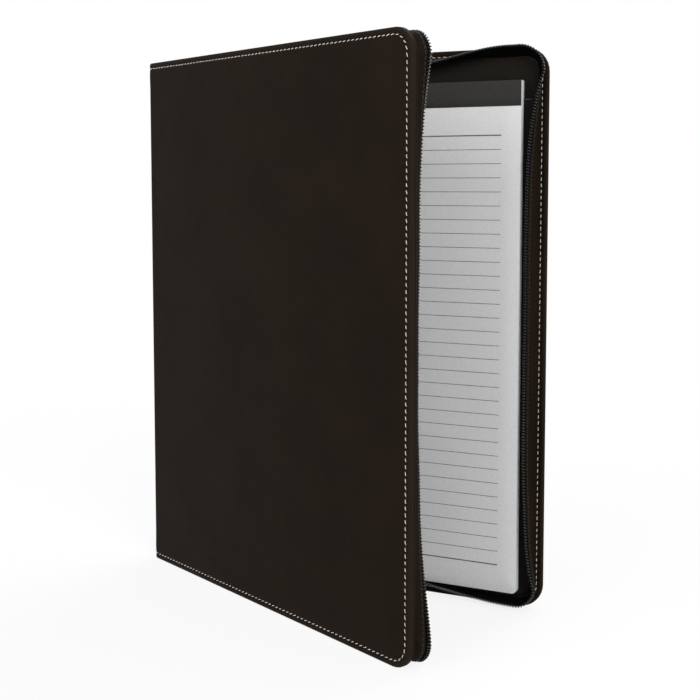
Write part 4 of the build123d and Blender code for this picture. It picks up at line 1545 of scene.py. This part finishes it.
# %% [markdown]
# ## Floor and light
# The folder stands on a plain white floor in soft light. The floor and the world look white to
# the camera through Light Path, while the light on the folder stays at a plain level, so that
# colours render about as they are written. More light would whiten the floor too, but it would
# bleach the folder. The floor keeps a share of its shadow close to the folder.

# %% Floor
FLOOR_HALF = 6
FLOOR_TONE = colour(0.86, 0.86, 0.86)
GLOW_RANGE = (("From Min", 0.1), ("From Max", 0.9), ("To Min", 0.84), ("To Max", 1.0))


def seen_directly(nodes, links):
    """One for rays that see the surroundings, zero for rays that gather their light."""
    path = nodes.new("ShaderNodeLightPath")
    result = path.outputs["Is Camera Ray"]
    for ray in ("Is Glossy Ray", "Is Transmission Ray"):
        either = nodes.new("ShaderNodeMath")
        either.operation = "MAXIMUM"
        links.new(result, either.inputs[0])
        links.new(path.outputs[ray], either.inputs[1])
        result = either.outputs[0]
    return result


def white_floor_finish():
    material = bpy.data.materials.new("floor")
    material.use_nodes = True
    nodes, links = material.node_tree.nodes, material.node_tree.links
    nodes.clear()
    matt = nodes.new("ShaderNodeBsdfDiffuse")
    matt.inputs["Color"].default_value = FLOOR_TONE
    glow = nodes.new("ShaderNodeEmission")
    spot = nodes.new("ShaderNodeTexCoord")
    away = nodes.new("ShaderNodeVectorMath")
    away.operation = "LENGTH"
    links.new(spot.outputs["Object"], away.inputs[0])
    white = nodes.new("ShaderNodeMapRange")
    white.interpolation_type = "SMOOTHSTEP"
    for key, value in GLOW_RANGE:
        white.inputs[key].default_value = value
    links.new(away.outputs["Value"], white.inputs["Value"])
    share = nodes.new("ShaderNodeMath")
    share.operation = "MULTIPLY"
    links.new(white.outputs[0], share.inputs[1])
    links.new(seen_directly(nodes, links), share.inputs[0])
    both = nodes.new("ShaderNodeMixShader")
    for number, output in enumerate((share.outputs[0], matt.outputs[0], glow.outputs[0])):
        links.new(output, both.inputs[number])
    out = nodes.new("ShaderNodeOutputMaterial")
    links.new(both.outputs[0], out.inputs["Surface"])
    return material


floor_mesh = bpy.data.meshes.new("floor")
corners = [(x * FLOOR_HALF, y * FLOOR_HALF, 0) for x, y in ((-1, -1), (1, -1), (1, 1), (-1, 1))]
floor_mesh.from_pydata(corners, [], [(0, 1, 2, 3)])
floor_mesh.materials.append(white_floor_finish())
floor = bpy.data.objects.new("floor", floor_mesh)
bpy.context.scene.collection.objects.link(floor)
print("floor laid")

# %% [markdown]
# Three large lamps give soft shadows: one from the front right, one from the front left and one
# from behind. An evenly lit room could do it alone, but then no shadow would say where the light
# comes from. The world only lifts what the lamps miss.

# %% Lamps and world
WORLD_LIGHT = 0.45
LAMP_TARGET = Vector((0.0, 0.0, 0.15))
LAMPS = (  # name, place, size, power
    ("key", (2.05, -1.1, 1.2), 1.0, 42.5),
    ("fill", (-0.4, -2.3, 1.0), 1.8, 36.5),
    ("back", (0.0, 1.9, 1.5), 1.8, 34.0),
)
for name, place, size, power in LAMPS:
    lamp = bpy.data.lights.new(name, "AREA")
    lamp.size = size
    lamp.energy = power
    holder = bpy.data.objects.new(name, lamp)
    holder.location = place
    holder.rotation_mode = "QUATERNION"
    holder.rotation_quaternion = (LAMP_TARGET - Vector(place)).to_track_quat("-Z", "Y")
    bpy.context.scene.collection.objects.link(holder)

world = bpy.data.worlds.new("studio")
bpy.context.scene.world = world
world.use_nodes = True
sky = world.node_tree
backdrop = sky.nodes["Background"]
backdrop.inputs["Color"].default_value = colour(1.0, 1.0, 1.0)
level = sky.nodes.new("ShaderNodeMapRange")
sky.links.new(seen_directly(sky.nodes, sky.links), level.inputs["Value"])
level.inputs["To Min"].default_value = WORLD_LIGHT
level.inputs["To Max"].default_value = 1.0
sky.links.new(level.outputs[0], backdrop.inputs["Strength"])
bpy.context.scene.view_settings.view_transform = "Standard"
print("lamps:", ", ".join(name for name, *rest in LAMPS))
